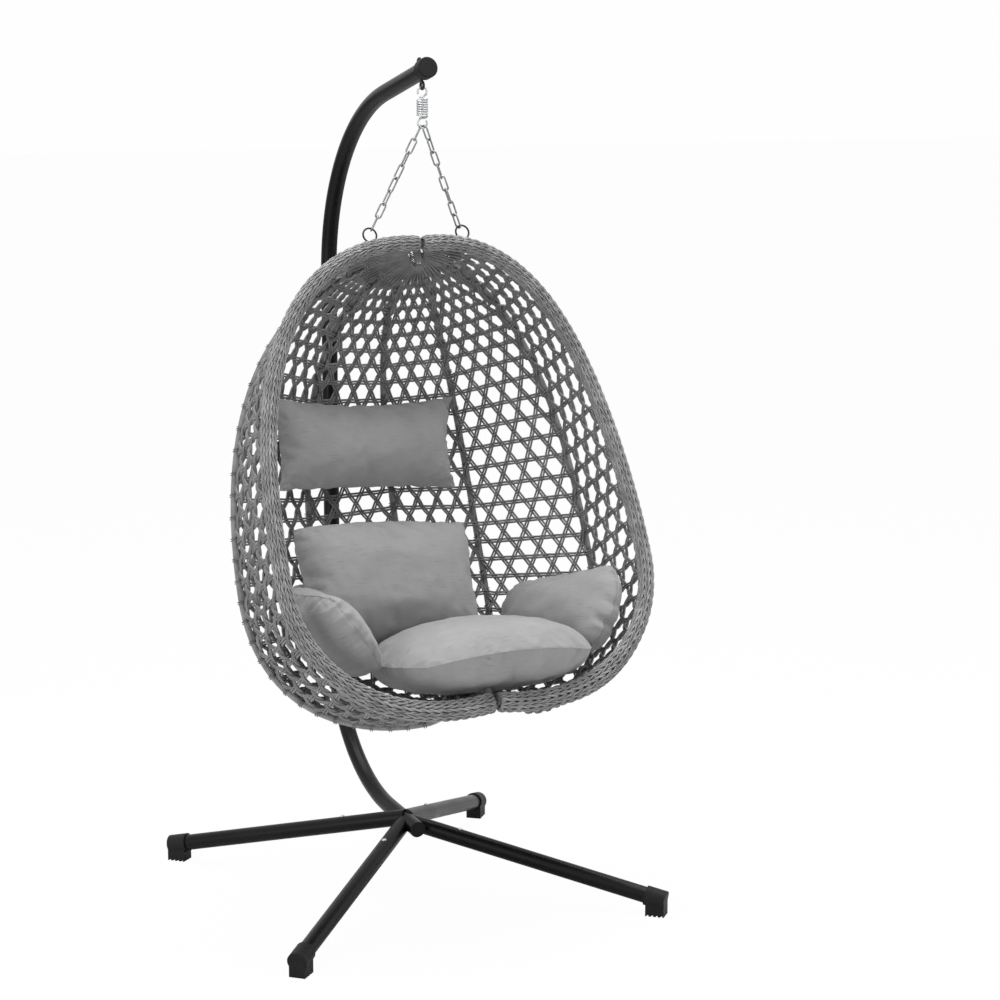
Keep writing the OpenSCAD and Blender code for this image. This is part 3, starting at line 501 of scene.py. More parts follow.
def leaning(points):
    y, z = points[:, 1] - HINGE_TOP[0], points[:, 2] - HINGE_TOP[1]
    return (points[:, 0], y * math.cos(TILT) - z * math.sin(TILT),
            -y * math.sin(TILT) - z * math.cos(TILT))


print("rib lengths", [round(float(v[-1]), 3) for v in LENGTHS])

# %% [markdown]
# ## Straight first, then bent
# Braids and windings are hard to model on a curve and easy on a straight line. So each one is
# made upright along Z, with the Screw modifier turning one small profile into a long helix, and
# a Curve modifier then lays it along its rib. The curve's point radius makes it taper.

# %% Curves to bend along
def poly_curve(name, lines):
    """One curve object with a run of straight segments through each list of points."""
    data = bpy.data.curves.new(name, "CURVE")
    data.dimensions = "3D"
    for points in lines:
        spline = data.splines.new("POLY")
        spline.points.add(len(points) - 1)
        spline.points.foreach_set("co", np.c_[points, np.ones(len(points))].ravel())
    obj = bpy.data.objects.new(name, data)
    bpy.context.scene.collection.objects.link(obj)
    return obj


def bend_along(obj, points, radii):
    guide = poly_curve("guide", [points])
    guide.data.use_radius = True
    guide.data.splines[0].points.foreach_set("radius", radii)
    apply_modifier(obj, "CURVE", "bend", object=guide, deform_axis="POS_Z")
    bpy.data.objects.remove(guide)
    return obj


def twisted(profile, lay, turns, steps, hand=1):
    """Turns a flat profile about Z, one lay higher with each turn, into a closed body."""
    only(profile)
    bpy.ops.object.transform_apply(location=True, rotation=True, scale=True)
    apply_modifier(profile, "SCREW", "twist", axis="Z", angle=hand * 2 * math.pi, screw_offset=lay,
                   iterations=turns, steps=steps, render_steps=steps, use_smooth_shade=True)
    edit_mesh(profile, (bpy.ops.mesh.remove_doubles, {"threshold": 1e-6}),
              (bpy.ops.mesh.fill_holes, {"sides": 0}),
              (bpy.ops.mesh.normals_make_consistent, {"inside": False}))
    bpy.ops.object.shade_smooth()
    return profile


def ring_profile(radius, sides, x):
    bpy.ops.object.select_all(action="DESELECT")
    bpy.ops.mesh.primitive_circle_add(vertices=sides, radius=radius, location=(x, 0, 0))
    return bpy.context.view_layer.objects.active


def copy_of(obj, matrix):
    only(obj)
    bpy.ops.object.duplicate()
    copy = bpy.context.view_layer.objects.active
    copy.data.transform(matrix)
    return copy


print("bending tools ready")

# %% [markdown]
# ## A merged copy of a CAD piece
# The hinge eyes at the ends of ribs and rim are plain flat metal that CAD already has right. A
# copy of the CAD mesh, merged into one skin, gives the new piece its eyes and its inner rod, and
# a Displace modifier draws that core in a little, away from the hinge, so that the strand can lie
# over it. On a rib the core takes the colour of the winding, which hides it. On the rim it takes
# the darker weave strand, as painted shade in the gaps between the braid's cords.

# %% Merged copy and core
EDGE_ANGLE = math.radians(35)


def merged_copy(node, name, threshold):
    copy = bpy.data.objects.new(name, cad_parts[node].data.copy())
    bpy.context.scene.collection.objects.link(copy)
    return edit_mesh(copy, (bpy.ops.mesh.remove_doubles, {"threshold": threshold}))


def core_of(node, draw_in, keep_off, soft, skin):
    core = merged_copy(node, "core", 2e-6)
    away = core.vertex_groups.new(name="away")
    side, back, _ = leaning(points_of(core))
    shares = np.minimum((np.hypot(side, back) - keep_off) / soft, 1)
    for i in np.flatnonzero(shares > 0):
        away.add([int(i)], float(shares[i]), "REPLACE")
    apply_modifier(core, "DISPLACE", "draw in", strength=-draw_in, mid_level=0, vertex_group="away")
    bpy.ops.object.shade_smooth_by_angle(angle=EDGE_ANGLE)
    core.vertex_groups.clear()
    coat(core, skin)
    return core


print("core tool ready")

# %% [markdown]
# ## The rim
# Each half of the rim is a steel tube covered from end to end with strand. The strands run in
# two-ply cords side by side along the tube, twisted left and right by turns, so that neighbours
# lean opposite ways and the surface reads as rows of slanting stitches about 20 mm long.

# %% One cord of each hand
RIM_T = np.linspace(0.02, 1.996, 260)  # 0 at the top, 1 where the rim is widest, 2 at the bottom
rim_points = {k: upright(meridian(k, RIM_T)) for k in RIM_NODES}
rim_length = float(np.linalg.norm(np.diff(rim_points[0], axis=0), axis=1).sum())
PLY, PLY_OFFSET, LAY = 0.0020, 0.0017, 0.042
CORDS, CORD_AT = 15, 0.0155
cord_turns = int(rim_length / LAY)
cord_lay = rim_length / cord_turns


def cord(hand):
    plies = [ring_profile(PLY, 5, PLY_OFFSET), ring_profile(PLY, 5, -PLY_OFFSET)]
    return twisted(joined("cord", plies), cord_lay, cord_turns, 9, hand)


cords = {1: cord(1), -1: cord(-1)}
print("cord", round(rim_length, 3), "m long,", cord_turns, "turns")

# %% [markdown]
# The braid narrows to half at both ends of a rim half, where it is tucked in. At the bottom it
# is thicker and hangs a little, because there the ends of the walls are tied over the tube.

# %% Lay the cords round the tube and bend them
rng = np.random.default_rng(7)
TUCK_FROM, TUCK_OVER = 0.002, 0.011
LOW_FROM, LOW_OVER, LOW_GROWTH, LOW_SAG = 1.35, 0.35, 0.24, [0, 0.002, 0.005]


def rim_piece(k, side):
    parts = []
    for i in range(CORDS):
        angle = 2 * math.pi * i / CORDS
        hand = 1 if i % 2 else -1
        turn = Matrix.Rotation(float(rng.uniform(0, math.pi)), 4, "Z")
        place = Matrix.Translation((CORD_AT * math.cos(angle), CORD_AT * math.sin(angle), 0))
        parts.append(copy_of(cords[hand], place @ turn))
    braid = joined("braid", parts)
    reach = np.abs(meridian(k, RIM_T)[:, 0])
    off_end = np.clip((reach - TUCK_FROM) / TUCK_OVER, 0, 1)
    low = smooth((RIM_T - LOW_FROM) / LOW_OVER)
    bend_along(braid, rim_points[k] - np.outer(low, LOW_SAG),
               (0.5 + 0.5 * np.sqrt(1 - (1 - off_end) ** 2)) * (1 + LOW_GROWTH * low))
    coat(braid, rim_strand)
    # The rim's core takes the darker weave strand: painted shade in the gaps between the cords.
    core = core_of("rim_" + side, draw_in=0.0036, keep_off=0.026, soft=0.004, skin=weave_strand)
    piece = joined("braided_rim_" + side, [braid, core])
    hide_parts("rim_" + side)
    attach(piece, f"rim_{side}_half")
    print(piece.name, triangles(piece), "triangles")


for k, side in zip(RIM_NODES, ("left", "right")):
    rim_piece(k, side)
for spare in cords.values():
    bpy.data.objects.remove(spare)

# %% [markdown]
# ## Rows of the weave
# A six-way weave has level rows and two slanting sets. The rows are closer where the ribs draw
# together at the top and the bottom, and widest behind the sitter's shoulders. Their places are
# shares of each rib's length, so that a row meets every rib at the same share and runs right
# round the basket.

# %% Row places
ROWS, FIRST, LAST = 33, 0.066, 0.945
step_at = np.interp((np.arange(ROWS) + 0.5) / ROWS, [0, 0.20, 0.26, 0.38, 0.52, 0.75, 1],
                    [2.45, 2.55, 3.00, 3.05, 2.80, 2.60, 2.15])
ROW_SHARES = FIRST + (LAST - FIRST) * np.concatenate([[0], np.cumsum(step_at)]) / step_at.sum()
print("rows", len(ROW_SHARES), "from", FIRST, "to", LAST)

# %% [markdown]
# ## Ribs
# A rib is a steel rod wound edge to edge with 5 mm flat strand, like a whipped rope, and bare
# close to the hinge where its neighbours fold against it. Each turn of strand stands out a little
# at one edge. Where a row of the weave meets the rib, a cane takes two turns round it, close above
# the row, which shows as a small knuckle.

# %% Wind a straight rib
RIB_R, ROD_R = 0.0075, 0.003
TAPE, TAPE_INSET, TAPE_RISE, TAPE_EDGE = 0.005, 0.0004, 0.0007, 0.82
CANE, KNUCKLE_PITCH, KNUCKLE_TURNS = 0.0024, 0.0046, 2
BARE, SWELL, WOUND_FROM = 0.105, 0.03, 0.108


def winding(length):
    bpy.ops.object.select_all(action="DESELECT")
    bpy.ops.mesh.primitive_plane_add(size=1)
    strip = bpy.context.view_layer.objects.active
    bpy.ops.object.mode_set(mode="EDIT")
    bpy.ops.mesh.select_all(action="SELECT")
    bpy.ops.mesh.merge(type="CENTER")
    for step in ((TAPE_RISE, 0, TAPE_EDGE * TAPE), (-TAPE_RISE, 0, (1 - TAPE_EDGE) * TAPE)):
        bpy.ops.mesh.extrude_region_move(TRANSFORM_OT_translate={"value": step})
    bpy.ops.object.mode_set(mode="OBJECT")
    strip.data.transform(Matrix.Translation((RIB_R - TAPE_INSET, 0, 0)))
    return twisted(strip, TAPE, int(length / TAPE), 12)


knot = twisted(ring_profile(CANE, 6, RIB_R + CANE / 2), KNUCKLE_PITCH, KNUCKLE_TURNS, 12)
print("knuckle", triangles(knot), "triangles")


# %% Dress each rib
KNUCKLE_SHIFT = 0.0145


def rib_piece(k, node, body):
    length = LENGTHS[k][-1]
    shares = np.linspace(0, 1, 240)
    flat = along(k, shares)
    reach = np.hypot(flat[:, 0], flat[:, 1])
    radius = (ROD_R + (RIB_R - ROD_R) * np.clip((reach - BARE) / SWELL, 0, 1)) / RIB_R
    covered = shares[reach > WOUND_FROM] * length
    wound = winding(covered[-1] - covered[0])
    wound.data.transform(Matrix.Translation((0, 0, covered[0])))
    wound.data.materials.append(rib_strand)
    knots = []
    for share in ROW_SHARES[1:-1]:
        turn = Matrix.Rotation(float(rng.uniform(0, 2 * math.pi)), 4, "Z")
        place = Matrix.Translation((0, 0, share * length - KNUCKLE_SHIFT))
        knots.append(copy_of(knot, place @ turn))
    knots = joined("knots", knots)
    knots.data.materials.append(weave_strand)
    cover = joined("cover", [wound, knots])
    bend_along(cover, upright(flat), radius)
    core = core_of(node, draw_in=0.0024, keep_off=0.106, soft=0.030, skin=rib_strand)
    piece = joined("wound_" + node, [cover, core])
    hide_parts(node)
    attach(piece, body)
    print(piece.name, triangles(piece), "triangles")


RIB_NODES = {1: ("rib_left_outer", "outer_left"), 2: ("rib_left_inner", "inner_left"),
             3: ("rib_middle", "basket"), 4: ("rib_right_inner", "inner_right"),
             5: ("rib_right_outer", "outer_right")}
for k, names in RIB_NODES.items():
    rib_piece(k, *names)
bpy.data.objects.remove(knot)

# %% [markdown]
# ## The woven walls
# Between two neighbouring ribs the wall is a six-way weave, the pattern of a cane chair seat:
# level rows and two sets of diagonals, spaced so that no three cross in one point. Every crossing
# goes over one and under the next, so the height of a strand is a cosine along it. Each strand is
# a pair of round canes lying side by side.
#
# A place on the wall is given by its share across (from rib to rib) and its share down (along
# the ribs). Canes run straight from rib to rib, as pulled-tight strand does.

# %% Places on a wall
HEART = np.array([0, 0.02, 0.5 * HEIGHT])
STEP, NEAR_RIB = 0.003, 0.016


def inward(n, at):
    return n * np.where(np.sum(n * (HEART - at), axis=-1, keepdims=True) < 0, -1, 1)


def tangent_of(k, share):
    return along(k, share + STEP) - along(k, share - STEP)


def rib_normal(k, share):
    angle = math.radians(RIBS[k][0])
    across = np.array([math.cos(angle), -math.sin(angle), 0.0])
    return inward(unit(np.cross(tangent_of(k, share), across)), along(k, share))


def wall_frame(k, across, share):
    """Centre, inward normal and nearness to each rib at places of wall k."""
    p, q, a = along(k, share), along(k + 1, share), across[:, None]
    down = tangent_of(k, share) * (1 - a) + tangent_of(k + 1, share) * a
    centre = p * (1 - a) + q * a
    flat = inward(unit(np.cross(q - p, down)), centre)
    width = np.linalg.norm(q - p, axis=1)
    near = []
    for rib, distance in ((k, across * width), (k + 1, (1 - across) * width)):
        near.append(0 * distance if rib in RIM_NODES else smooth(1 - distance / NEAR_RIB))
    total = np.maximum(near[0] + near[1], 1)
    w0, w1 = near[0] / total, near[1] / total
    normal = flat * (1 - w0 - w1)[:, None]
    for rib, w in ((k, w0), (k + 1, w1)):
        if rib not in RIM_NODES:
            normal = normal + rib_normal(rib, share) * w[:, None]
    return centre, unit(normal), w0 + w1


print("wall places ready")


# %% Canes as curves, turned into mesh
ROUND_ANGLE = math.radians(62)


def canes(name, lines, radius, material, resolution=1):
    """Round canes along lists of points, as one mesh."""
    obj = only(poly_curve(name, lines))
    obj.data.bevel_depth = radius
    obj.data.bevel_resolution = resolution
    obj.data.use_fill_caps = True
    bpy.ops.object.convert(target="MESH")
    obj = bpy.context.view_layer.objects.active
    coat(obj, material)
    bpy.ops.object.shade_smooth_by_angle(angle=ROUND_ANGLE)
    return obj


CANE_R, PAIR, WAVE, OVER_RIB = 0.0026, 0.00285, 0.0026, 0.0127
ACROSS = [4, 5, 4, 4, 5, 4]


def row_share(b):
    return np.interp(b, np.arange(ROWS + 1), ROW_SHARES)


def strand_pair(k, x, b, height):
    """Two canes side by side through places x across and b rows down wall k."""
    centre, normal, near = wall_frame(k, np.clip(x / ACROSS[k], 0, 1), row_share(b))
    path = centre + normal * (height + OVER_RIB * near)[:, None]
    tangent = unit(np.gradient(path, axis=0))
    aside = unit(np.cross(normal, tangent)) * PAIR
    return [upright(path + aside), upright(path - aside)]


# %% [markdown]
# All three sets pass over the inner side of a rib, where the knuckles tie the rows to it, so from
# outside each rib shows as one smooth wound line. At the rim they run into the braid and end.

# %% The three sets of strands
POINTS, BESIDE_RIB, SHORTEST = 6, 0.08, 0.4


def level_rows(k):
    lines, wide = [], ACROSS[k]
    for j in range(ROWS + 1):
        x = np.linspace(0, wide, POINTS * wide + 1)
        x = np.sort(np.concatenate([x, [BESIDE_RIB, wide - BESIDE_RIB]]))
        height = WAVE * np.cos(2 * np.pi * (x - j / 2))
        lines += strand_pair(k, x, np.full_like(x, j), height)
    return lines


def diagonals(k):
    lines, wide = [], ACROSS[k]
    for lean in (1, -1):
        for c in range(-ROWS, wide + ROWS):
            start = c if lean > 0 else c + 0.5
            ends = sorted([-start * 2 * lean, (wide - start) * 2 * lean])
            low, high = max(0, ends[0]), min(ROWS, ends[1])
            if high - low < SHORTEST:
                continue
            b = np.linspace(low, high, max(3, int(round((high - low) * POINTS)) + 1))
            x = start + lean * b / 2
            height = -lean * WAVE * np.cos(2 * np.pi * b)
            lines += strand_pair(k, x, b, height)
    return lines


# %% [markdown]
# ## Close-woven ends
# Near the two hinges the ribs come too close for open gaps, and there the weave is closed:
# single canes side by side, over one rib and under the next by turns. Under the top hinge more
# canes spread from the pin over the inner side, like the spokes of a fan, and hide the pin's gap.

# %% Closed bands
BANDS = ((0.010, 0.062, 19), (0.949, 0.986, 13))  # from, to, number of canes
OVER_ROD, OVER_WINDING = 0.0056, 0.0045
SPOKE_FROM, SPOKE_TO, SPOKE_LIFT = 0.004, 0.088, 0.0085
SPOKES = np.linspace(0.08, 0.92, 7)


def closed_band(k):
    lines = []
    for top, bottom, count in BANDS:
        for i, share in enumerate(np.linspace(top, bottom, count)):
            a = np.linspace(0, 1, 9)
            centre, normal, _ = wall_frame(k, a, np.full_like(a, share))
            off_hinge = np.hypot(*along(3, np.array([share]))[0, :2])
            reach = OVER_ROD + OVER_WINDING * smooth((off_hinge - BARE) / SWELL)
            side = np.cos(np.pi * (a + k + i))
            lines.append(upright(centre + normal * (side * reach)[:, None]))
    share = np.linspace(SPOKE_FROM, SPOKE_TO, 12)
    lift = SPOKE_LIFT * np.sin(np.pi * np.linspace(0.12, 1, 12)) ** 0.5
    for a in SPOKES:
        centre, normal, _ = wall_frame(k, np.full_like(share, a), share)
        lines.append(upright(centre + normal * lift[:, None]))
    return lines


print("strand sets ready")

# %% [markdown]
# ## Fold shares of the walls
# On the real chair a wall follows the ribs on both its sides when the basket folds. Here each point
# of a wall gets a share of the rim's angle: nothing at the middle rib, a third at the inner ribs,
# two thirds at the outer ones and all of it at the rim, and in between by how far round the hinge
# line it lies. The shares are worked out but not used, so the walls stay where they are built.

# %% Share of the fold at every point
RIM_FAN = [np.degrees(np.arctan2(np.abs(CURVES[0][:, 0]), CURVES[0][:, 1])), CURVES[0][:, 2]]


def fold_shares(obj):
    side, back, down = leaning(points_of(obj))
    fan = np.degrees(np.arctan2(np.abs(side), back))
    rim_fan = np.interp(down, RIM_FAN[1], RIM_FAN[0])
    outer = RIBS[5][0]
    front = 2 / 3 + (fan - outer) / np.maximum(rim_fan - outer, 5) / 3
    return np.clip(np.where(fan < outer, fan / 90, front), 0, 1)


def fold_with(obj):
    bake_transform(obj)
    fold_shares(obj).astype(np.float32)


WALLS = [(0, "left", "front"), (1, "left", "side"), (2, "left", "back"),
         (3, "right", "back"), (4, "right", "side"), (5, "right", "front")]
for k, side, where in WALLS:
    lines = level_rows(k) + diagonals(k) + closed_band(k)
    wall = canes(f"cane_wall_{side}_{where}", lines, CANE_R, weave_strand)
    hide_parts(f"weave_{side}_{where}")
    fold_with(wall)
    print(wall.name, triangles(wall), "triangles")

# %% [markdown]
# ## Binding at the hinges
# At each end of the hinge line the roots of the ribs are whipped with strand: one cane wound
# round them all, turn on turn. It is the same helix as a knuckle on a rib, only wider.

# %% Whip both hinges
BINDING_R, BINDING_TURNS = 0.0165, 7
HINGE_FRAME = Matrix.Translation((0, *HINGE_TOP)) @ Matrix.Rotation(-TILT, 4, "X")
for end, low_level in (("top", 0.040), ("bottom", HEIGHT - 0.006)):
    binding = twisted(ring_profile(CANE, 6, BINDING_R), KNUCKLE_PITCH, BINDING_TURNS, 16)
    binding.name = binding.data.name = "hinge_binding_" + end
    binding.data.transform(HINGE_FRAME @ Matrix.Translation((0, 0, -low_level)))
    binding.data.materials.append(weave_strand)
    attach(binding, "basket")
    print(binding.name, triangles(binding), "triangles")

# %% [markdown]
# ## Cushions
# A cushion starts as two flat sheets of cloth, each a grid that is pulled into the cut of its
# panel, crowned a little and merged along the seam. Then it is blown up: cloth simulation with
# inside pressure and no gravity, the seam held in place and the cloth a few percent larger than
# its panel. The spare cloth has nowhere to go and gathers into puckers that run in from the seam,
# as on a real stuffed cover.
#
# A cushion's size is its width, height and thickness. `draw` hollows the edges of a panel, `round`
# turns it towards an oval, `sharp` squares its crown, `bend` curves it, `taper` and `flare` widen
# one end and `arch` raises the top edge. `full` scales the two faces and `lift` moves both back.
# A fold is a line that is pressed in: from, to, depth, width and face. `place` stands the cushion
# in the basket's own coordinates.

# %% The cut and the place of each cushion
def turned(at, *turns):
    place = HINGE_FRAME @ Matrix.Translation((at[0], at[1], -at[2]))
    for angle, axis in turns:
        place = place @ Matrix.Rotation(math.radians(angle), 4, axis)
    return place


MIRROR = HINGE_FRAME @ Matrix.Scale(-1, 4, (1, 0, 0)) @ HINGE_FRAME.inverted()
PLAIN = dict(draw=0, round=0, sharp=3, taper=0, flare=0, arch=0, full=(1, 1), lift=0, folds=[])
ARM = dict(PLAIN, grid=(48, 28), round=0.7, bend=-0.034, flare=-0.2, spare=0.045, gathers=40)
CUSHIONS = {
    "head_pillow": dict(
        PLAIN, size=(0.470, 0.215, 0.084), grid=(60, 30), draw=0.07, sharp=4, bend=0.022,
        taper=0.03, arch=-0.010, spare=0.03, gathers=16,
        folds=[((-0.225, 0), (-0.150, -0.034), 0.0035, 0.007, -1),
               ((-0.222, -0.03), (-0.165, -0.050), 0.0025, 0.006, -1)],
        place=turned((-0.091, 0.2715, 0.3723 * HEIGHT), (6, "Z"), (2, "Y"), (4, "X"))),
    "back_cushion": dict(
        PLAIN, size=(0.444, 0.282, 0.122), grid=(58, 38), draw=0.03, round=0.06, sharp=4,
        bend=0.020, taper=0.02, arch=0.020, spare=0.04, gathers=20,
        folds=[((0.190, -0.118), (0.110, -0.085), 0.0040, 0.006, -1),
               ((0.186, -0.110), (0.128, -0.058), 0.0035, 0.006, -1),
               ((-0.02, 0.124), (-0.03, 0.085), 0.0035, 0.006, -1),
               ((0.07, 0.124), (0.10, 0.090), 0.0040, 0.007, -1)],
        place=turned((-0.096, 0.244, 0.7035 * HEIGHT), (6, "Z"), (1.5, "Y"), (-4, "X"))),
    "seat_cushion": dict(
        PLAIN, size=(0.498, 0.405, 0.152), grid=(58, 50), round=0.72, bend=0.020, spare=0.02,
        gathers=26, full=(1.10, 0.66), lift=0.010,
        place=turned((0.034, 0.086, 0.88 * HEIGHT), (102, "X"))),
    "arm_cushion_left": dict(
        ARM, size=(0.364, 0.208, 0.108),
        place=MIRROR @ turned((0.306, 0.148, 0.793 * HEIGHT), (106, "Z"), (30, "X"), (-24, "Y"))),
    "arm_cushion_right": dict(
        ARM, size=(0.360, 0.198, 0.105),
        place=turned((0.306, 0.154, 0.8104 * HEIGHT), (112, "Z"), (22, "X"), (-11, "Y"))),
}
print(len(CUSHIONS), "cushions")


# %% Two crowned sheets
def panel_outline(u, v, c):
    w, h, _ = c["size"]
    sx, sy = u * (1 - c["draw"] * (1 - v * v)), v * (1 - c["draw"] * (1 - u * u))
    cx, cy = u * np.sqrt(1 - v * v / 2), v * np.sqrt(1 - u * u / 2)
    x = w / 2 * ((1 - c["round"]) * sx + c["round"] * cx) * (1 + c["taper"] * v)
    y = h / 2 * ((1 - c["round"]) * sy + c["round"] * cy) * (1 + c["flare"] * u)
    return x, y + c["arch"] * (1 - u * u) * np.clip(v, 0, 1)


FIRST_FILL = 0.94


def sheet(name, c, side):
    """One panel: side -1 is the front or the seat's underside, 1 the rear or the seat's top."""
    nx, ny = c["grid"]
    bpy.ops.object.select_all(action="DESELECT")
    bpy.ops.mesh.primitive_grid_add(x_subdivisions=nx, y_subdivisions=ny, size=2)
    obj = bpy.context.view_layer.objects.active
    u, v = np.sin(np.pi / 2 * np.clip(points_of(obj)[:, :2], -1, 1)).T
    x, z = panel_outline(u, v, c)
    crown = (np.sqrt(np.clip(1 - np.abs(u) ** c["sharp"], 0, 1))
             * np.sqrt(np.clip(1 - np.abs(v) ** c["sharp"], 0, 1)))
    y = (side * FIRST_FILL * c["full"][side > 0] * c["size"][2] / 2 * crown - c["bend"] * u * u
         + c["lift"])
    move_points(obj, np.stack([x, y, z], 1))
    corner = np.empty(len(obj.data.loops), int)
    obj.data.loops.foreach_get("vertex_index", corner)
    obj.data.uv_layers[0].data.foreach_set("uv", np.stack([x, z], 1)[corner].ravel())
    on_edge = np.flatnonzero(np.maximum(np.abs(u), np.abs(v)) > 0.9999)
    obj.vertex_groups.new(name="seam").add([int(i) for i in on_edge], 1, "REPLACE")
    obj.name = name
    return obj


def sewn(name, c):
    """Both panels merged at the seam and turned face out, as inside pressure needs."""
    cover = joined(name, [sheet(name, c, -1), sheet(name + "_rear", c, 1)])
    edit_mesh(cover, (bpy.ops.mesh.remove_doubles, {"threshold": 1e-5}),
              (bpy.ops.mesh.normals_make_consistent, {"inside": False}))
    rear = [p.normal.y for p in cover.data.polygons if p.center.y > 0.3 * c["size"][2]]
    if sum(rear) < 0:
        cover.data.flip_normals()
    bpy.ops.object.shade_smooth()
    return cover


print("sewing tools ready")


# %% Blow up
FRAMES, FARTHEST = 20, 0.024


def blow_up(cover, c):
    before = points_of(cover)
    only(cover)
    modifier = cover.modifiers.new("cloth", "CLOTH")
    cloth = modifier.settings
    cloth.quality, cloth.mass = 5, 0.25
    cloth.tension_stiffness = cloth.compression_stiffness = 10
    cloth.shear_stiffness, cloth.bending_stiffness = 4, 0.2
    cloth.use_pressure, cloth.uniform_pressure_force = True, 5
    cloth.shrink_min = -c["spare"]
    cloth.vertex_group_mass = "seam"
    cloth.pin_stiffness = 1
    cloth.effector_weights.gravity = 0
    modifier.collision_settings.use_collision = False
    for frame_number in range(1, FRAMES + 1):
        bpy.context.scene.frame_set(frame_number)
    bpy.ops.object.modifier_apply(modifier="cloth")
    bpy.context.scene.frame_set(1)
    move = points_of(cover) - before
    length = np.maximum(np.linalg.norm(move, axis=1, keepdims=True), 1e-9)
    move_points(cover, before + move * np.minimum(1, FARTHEST / length))
    print(cover.name, "moved up to", round(float(length.max()) * 1000, 1), "mm")


# %% [markdown]
# Simulation gives the soft bulges, but not the short sharp creases at a seam: the cloth there is
# gathered by the thread. They are pressed in afterwards, each as a line that fades along its
# length, and the sewing thread is laid round the seam as a thin round strand. Before that, a few
# shallow waves in all directions make the cover look sat in.

# %% Creases and thread
CREASE_LENGTH, CREASE_DEPTH, CREASE_WIDTH, FADE = (0.018, 0.045), (0.0022, 0.0048), 0.0050, 0.85
WAVES, WAVE_HEIGHT, THREAD_R = 14, 0.0055, 0.0011


def seam_creases(c):
    lines = []
    for _ in range(c["gathers"]):
        side, t = int(rng.integers(4)), float(rng.uniform(-0.92, 0.92))
        u, v = [(t, 1), (1, t), (t, -1), (-1, t)][side]
        start = np.array(panel_outline(np.array(u), np.array(v), c))
        reach = -start / np.linalg.norm(start) * rng.uniform(*CREASE_LENGTH)
        turn = rng.uniform(-0.5, 0.5)
        reach = np.array([reach[0] * math.cos(turn) - reach[1] * math.sin(turn),
                          reach[0] * math.sin(turn) + reach[1] * math.cos(turn)])
        lines.append((start - reach * 0.2, start + reach, rng.uniform(*CREASE_DEPTH),
                      CREASE_WIDTH, 0))
    return lines


def crumple(cover):
    """Shallow waves of slack cloth, 25 to 70 mm long and about a millimetre deep."""
    co = points_of(cover)
    wave = np.zeros(len(co))
    for _ in range(WAVES):
        heading, length = rng.uniform(0, math.pi), rng.uniform(0.025, 0.070)
        run = co[:, 0] * math.cos(heading) + co[:, 2] * math.sin(heading)
        wave += np.sin(2 * math.pi * run / length + rng.uniform(0, 6.28)) * length
    move_points(cover, co + points_of(cover, "normal") * (WAVE_HEIGHT * wave)[:, None])


def press(cover, lines):
    co, normal = points_of(cover), points_of(cover, "normal")
    depth = np.zeros(len(co))
    for start, end, deep, wide, face in lines:
        start, run = np.asarray(start, float), np.asarray(end, float) - np.asarray(start, float)
        flat = co[:, [0, 2]] - start
        share = np.clip(flat @ run / (run @ run), 0, 1)
        gap = np.linalg.norm(flat - share[:, None] * run, axis=1)
        hit = deep * np.exp(-(gap / wide) ** 2) * (1 - FADE * share)
        depth += np.where((face == 0) | (normal[:, 1] * face > 0), hit, 0)
    move_points(cover, co - normal * depth[:, None])


def thread(cover):
    group = cover.vertex_groups["seam"].index
    loop = np.array([v.co[:] for v in cover.data.vertices
                     if any(g.group == group and g.weight > 0.99 for g in v.groups)])
    loop = loop[np.argsort(np.arctan2(loop[:, 2], loop[:, 0]))]
    return canes("thread", [np.vstack([loop, loop[:2]])], THREAD_R, cushion_cloth)


# %% Make all five
def cushion(name, c):
    cover = sewn("soft_" + name, c)
    blow_up(cover, c)
    apply_modifier(cover, "SUBSURF", "round off", levels=1, render_levels=1)
    crumple(cover)
    press(cover, seam_creases(c) + c["folds"])
    seam = thread(cover)
    cover.vertex_groups.clear()
    cover = joined("soft_" + name, [cover, seam])
    cover.data.transform(c["place"])
    if c["place"].determinant() < 0:
        cover.data.flip_normals()
    coat(cover, cushion_cloth)
    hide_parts(name)
    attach(cover, "basket")
    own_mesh(cover)
    print(cover.name, triangles(cover), "triangles")


for name, c in CUSHIONS.items():
    cushion(name, c)

# %% [markdown]
# ## Spring and chains
# The spring is one wire: over the eye in a loop, down its side and round in a close coil. Its
# route is given by a few points and rounded by a Catmull-Rom curve, which passes through every
# one. The chains are the CAD links merged into smooth ones.

# %% Spring
HANG_Y, SPRING_R, WIRE, PITCH, SEAT_GAP = -0.103584, 0.011, 0.0046, 0.0052, 0.0003
LOOP_Z, COIL_TOP, COIL_BOTTOM, HOOK_Z = 1.87298, 1.85738, 1.81968, 1.80408
LOOP_FROM, LOOP_ROUND, LOOP_STEPS = 60, 290, 12
COIL_FROM, STEPS_A_TURN = 315, 8
coil_steps = np.arange(59)


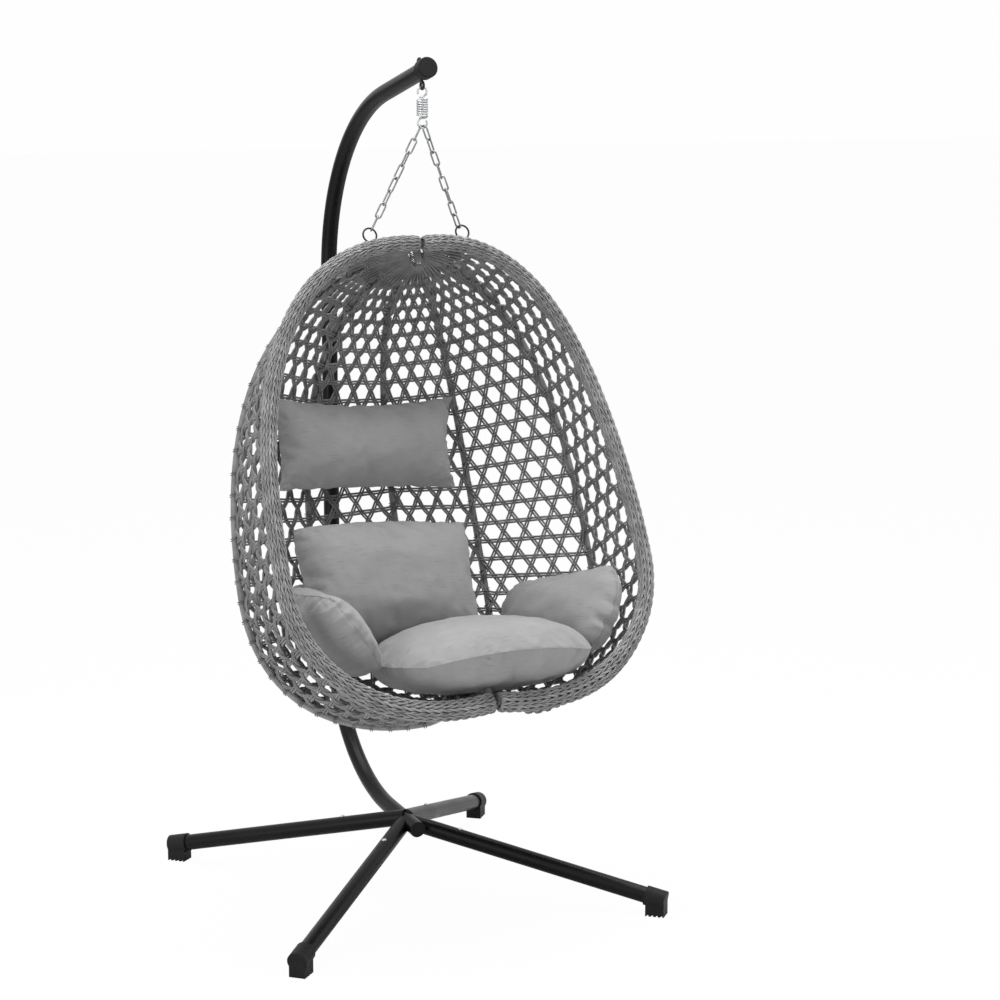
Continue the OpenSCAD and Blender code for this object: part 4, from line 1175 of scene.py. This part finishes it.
def rounded(points, steps=6):
    p = np.vstack([2 * points[0] - points[1], points, 2 * points[-1] - points[-2]])
    t = (np.arange(steps) / steps)[:, None]
    out = []
    for a, b, c, d in zip(p[:-3], p[1:-2], p[2:-1], p[3:]):
        out.append(0.5 * (2 * b + (c - a) * t + (2 * a - 5 * b + 4 * c - d) * t ** 2
                          + (3 * b - a - 3 * c + d) * t ** 3))
    return np.vstack(out + [points[-1:]])


loop_turn = np.radians(LOOP_FROM + LOOP_ROUND * np.arange(LOOP_STEPS + 1) / LOOP_STEPS)
coil_turn = np.radians(COIL_FROM + 360 / STEPS_A_TURN * coil_steps)
route = np.vstack([
    np.stack([-SPRING_R * np.sin(loop_turn), 0 * loop_turn,
              LOOP_Z - SPRING_R * np.cos(loop_turn)], 1),
    [[-SPRING_R * 0.35, -SPRING_R * 0.12, COIL_TOP + WIRE * 0.75],
     [-SPRING_R * 0.62, -SPRING_R * 0.4, COIL_TOP + WIRE * 0.35]],
    np.stack([SPRING_R * np.sin(coil_turn), -SPRING_R * np.cos(coil_turn),
              COIL_TOP - PITCH * coil_steps / STEPS_A_TURN], 1),
    [[SPRING_R * 0.78, -SPRING_R * 0.4, COIL_BOTTOM - WIRE * 0.4],
     [SPRING_R * 0.64, -SPRING_R * 0.1, COIL_BOTTOM - WIRE * 0.85],
     [SEAT_GAP + WIRE, 0, HOOK_Z + SPRING_R],
     [SEAT_GAP, 0, HOOK_Z + SPRING_R]]])
spring = canes("spring_wire", [rounded(route) + [0, HANG_Y, 0]], WIRE / 2, zinc_steel, 3)
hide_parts("spring_coil")
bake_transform(spring)
print("spring", triangles(spring), "triangles")


# %% Chains
LINK_ANGLE = math.radians(50)
for side in ("left", "right"):
    chain = merged_copy("chain_" + side, "smooth_chain_" + side, 1e-6)
    bpy.ops.object.shade_smooth_by_angle(angle=LINK_ANGLE)
    coat(chain, chain_steel)
    co = points_of(chain)
    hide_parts("chain_" + side)
    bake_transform(chain)
    print(chain.name, triangles(chain), "triangles")
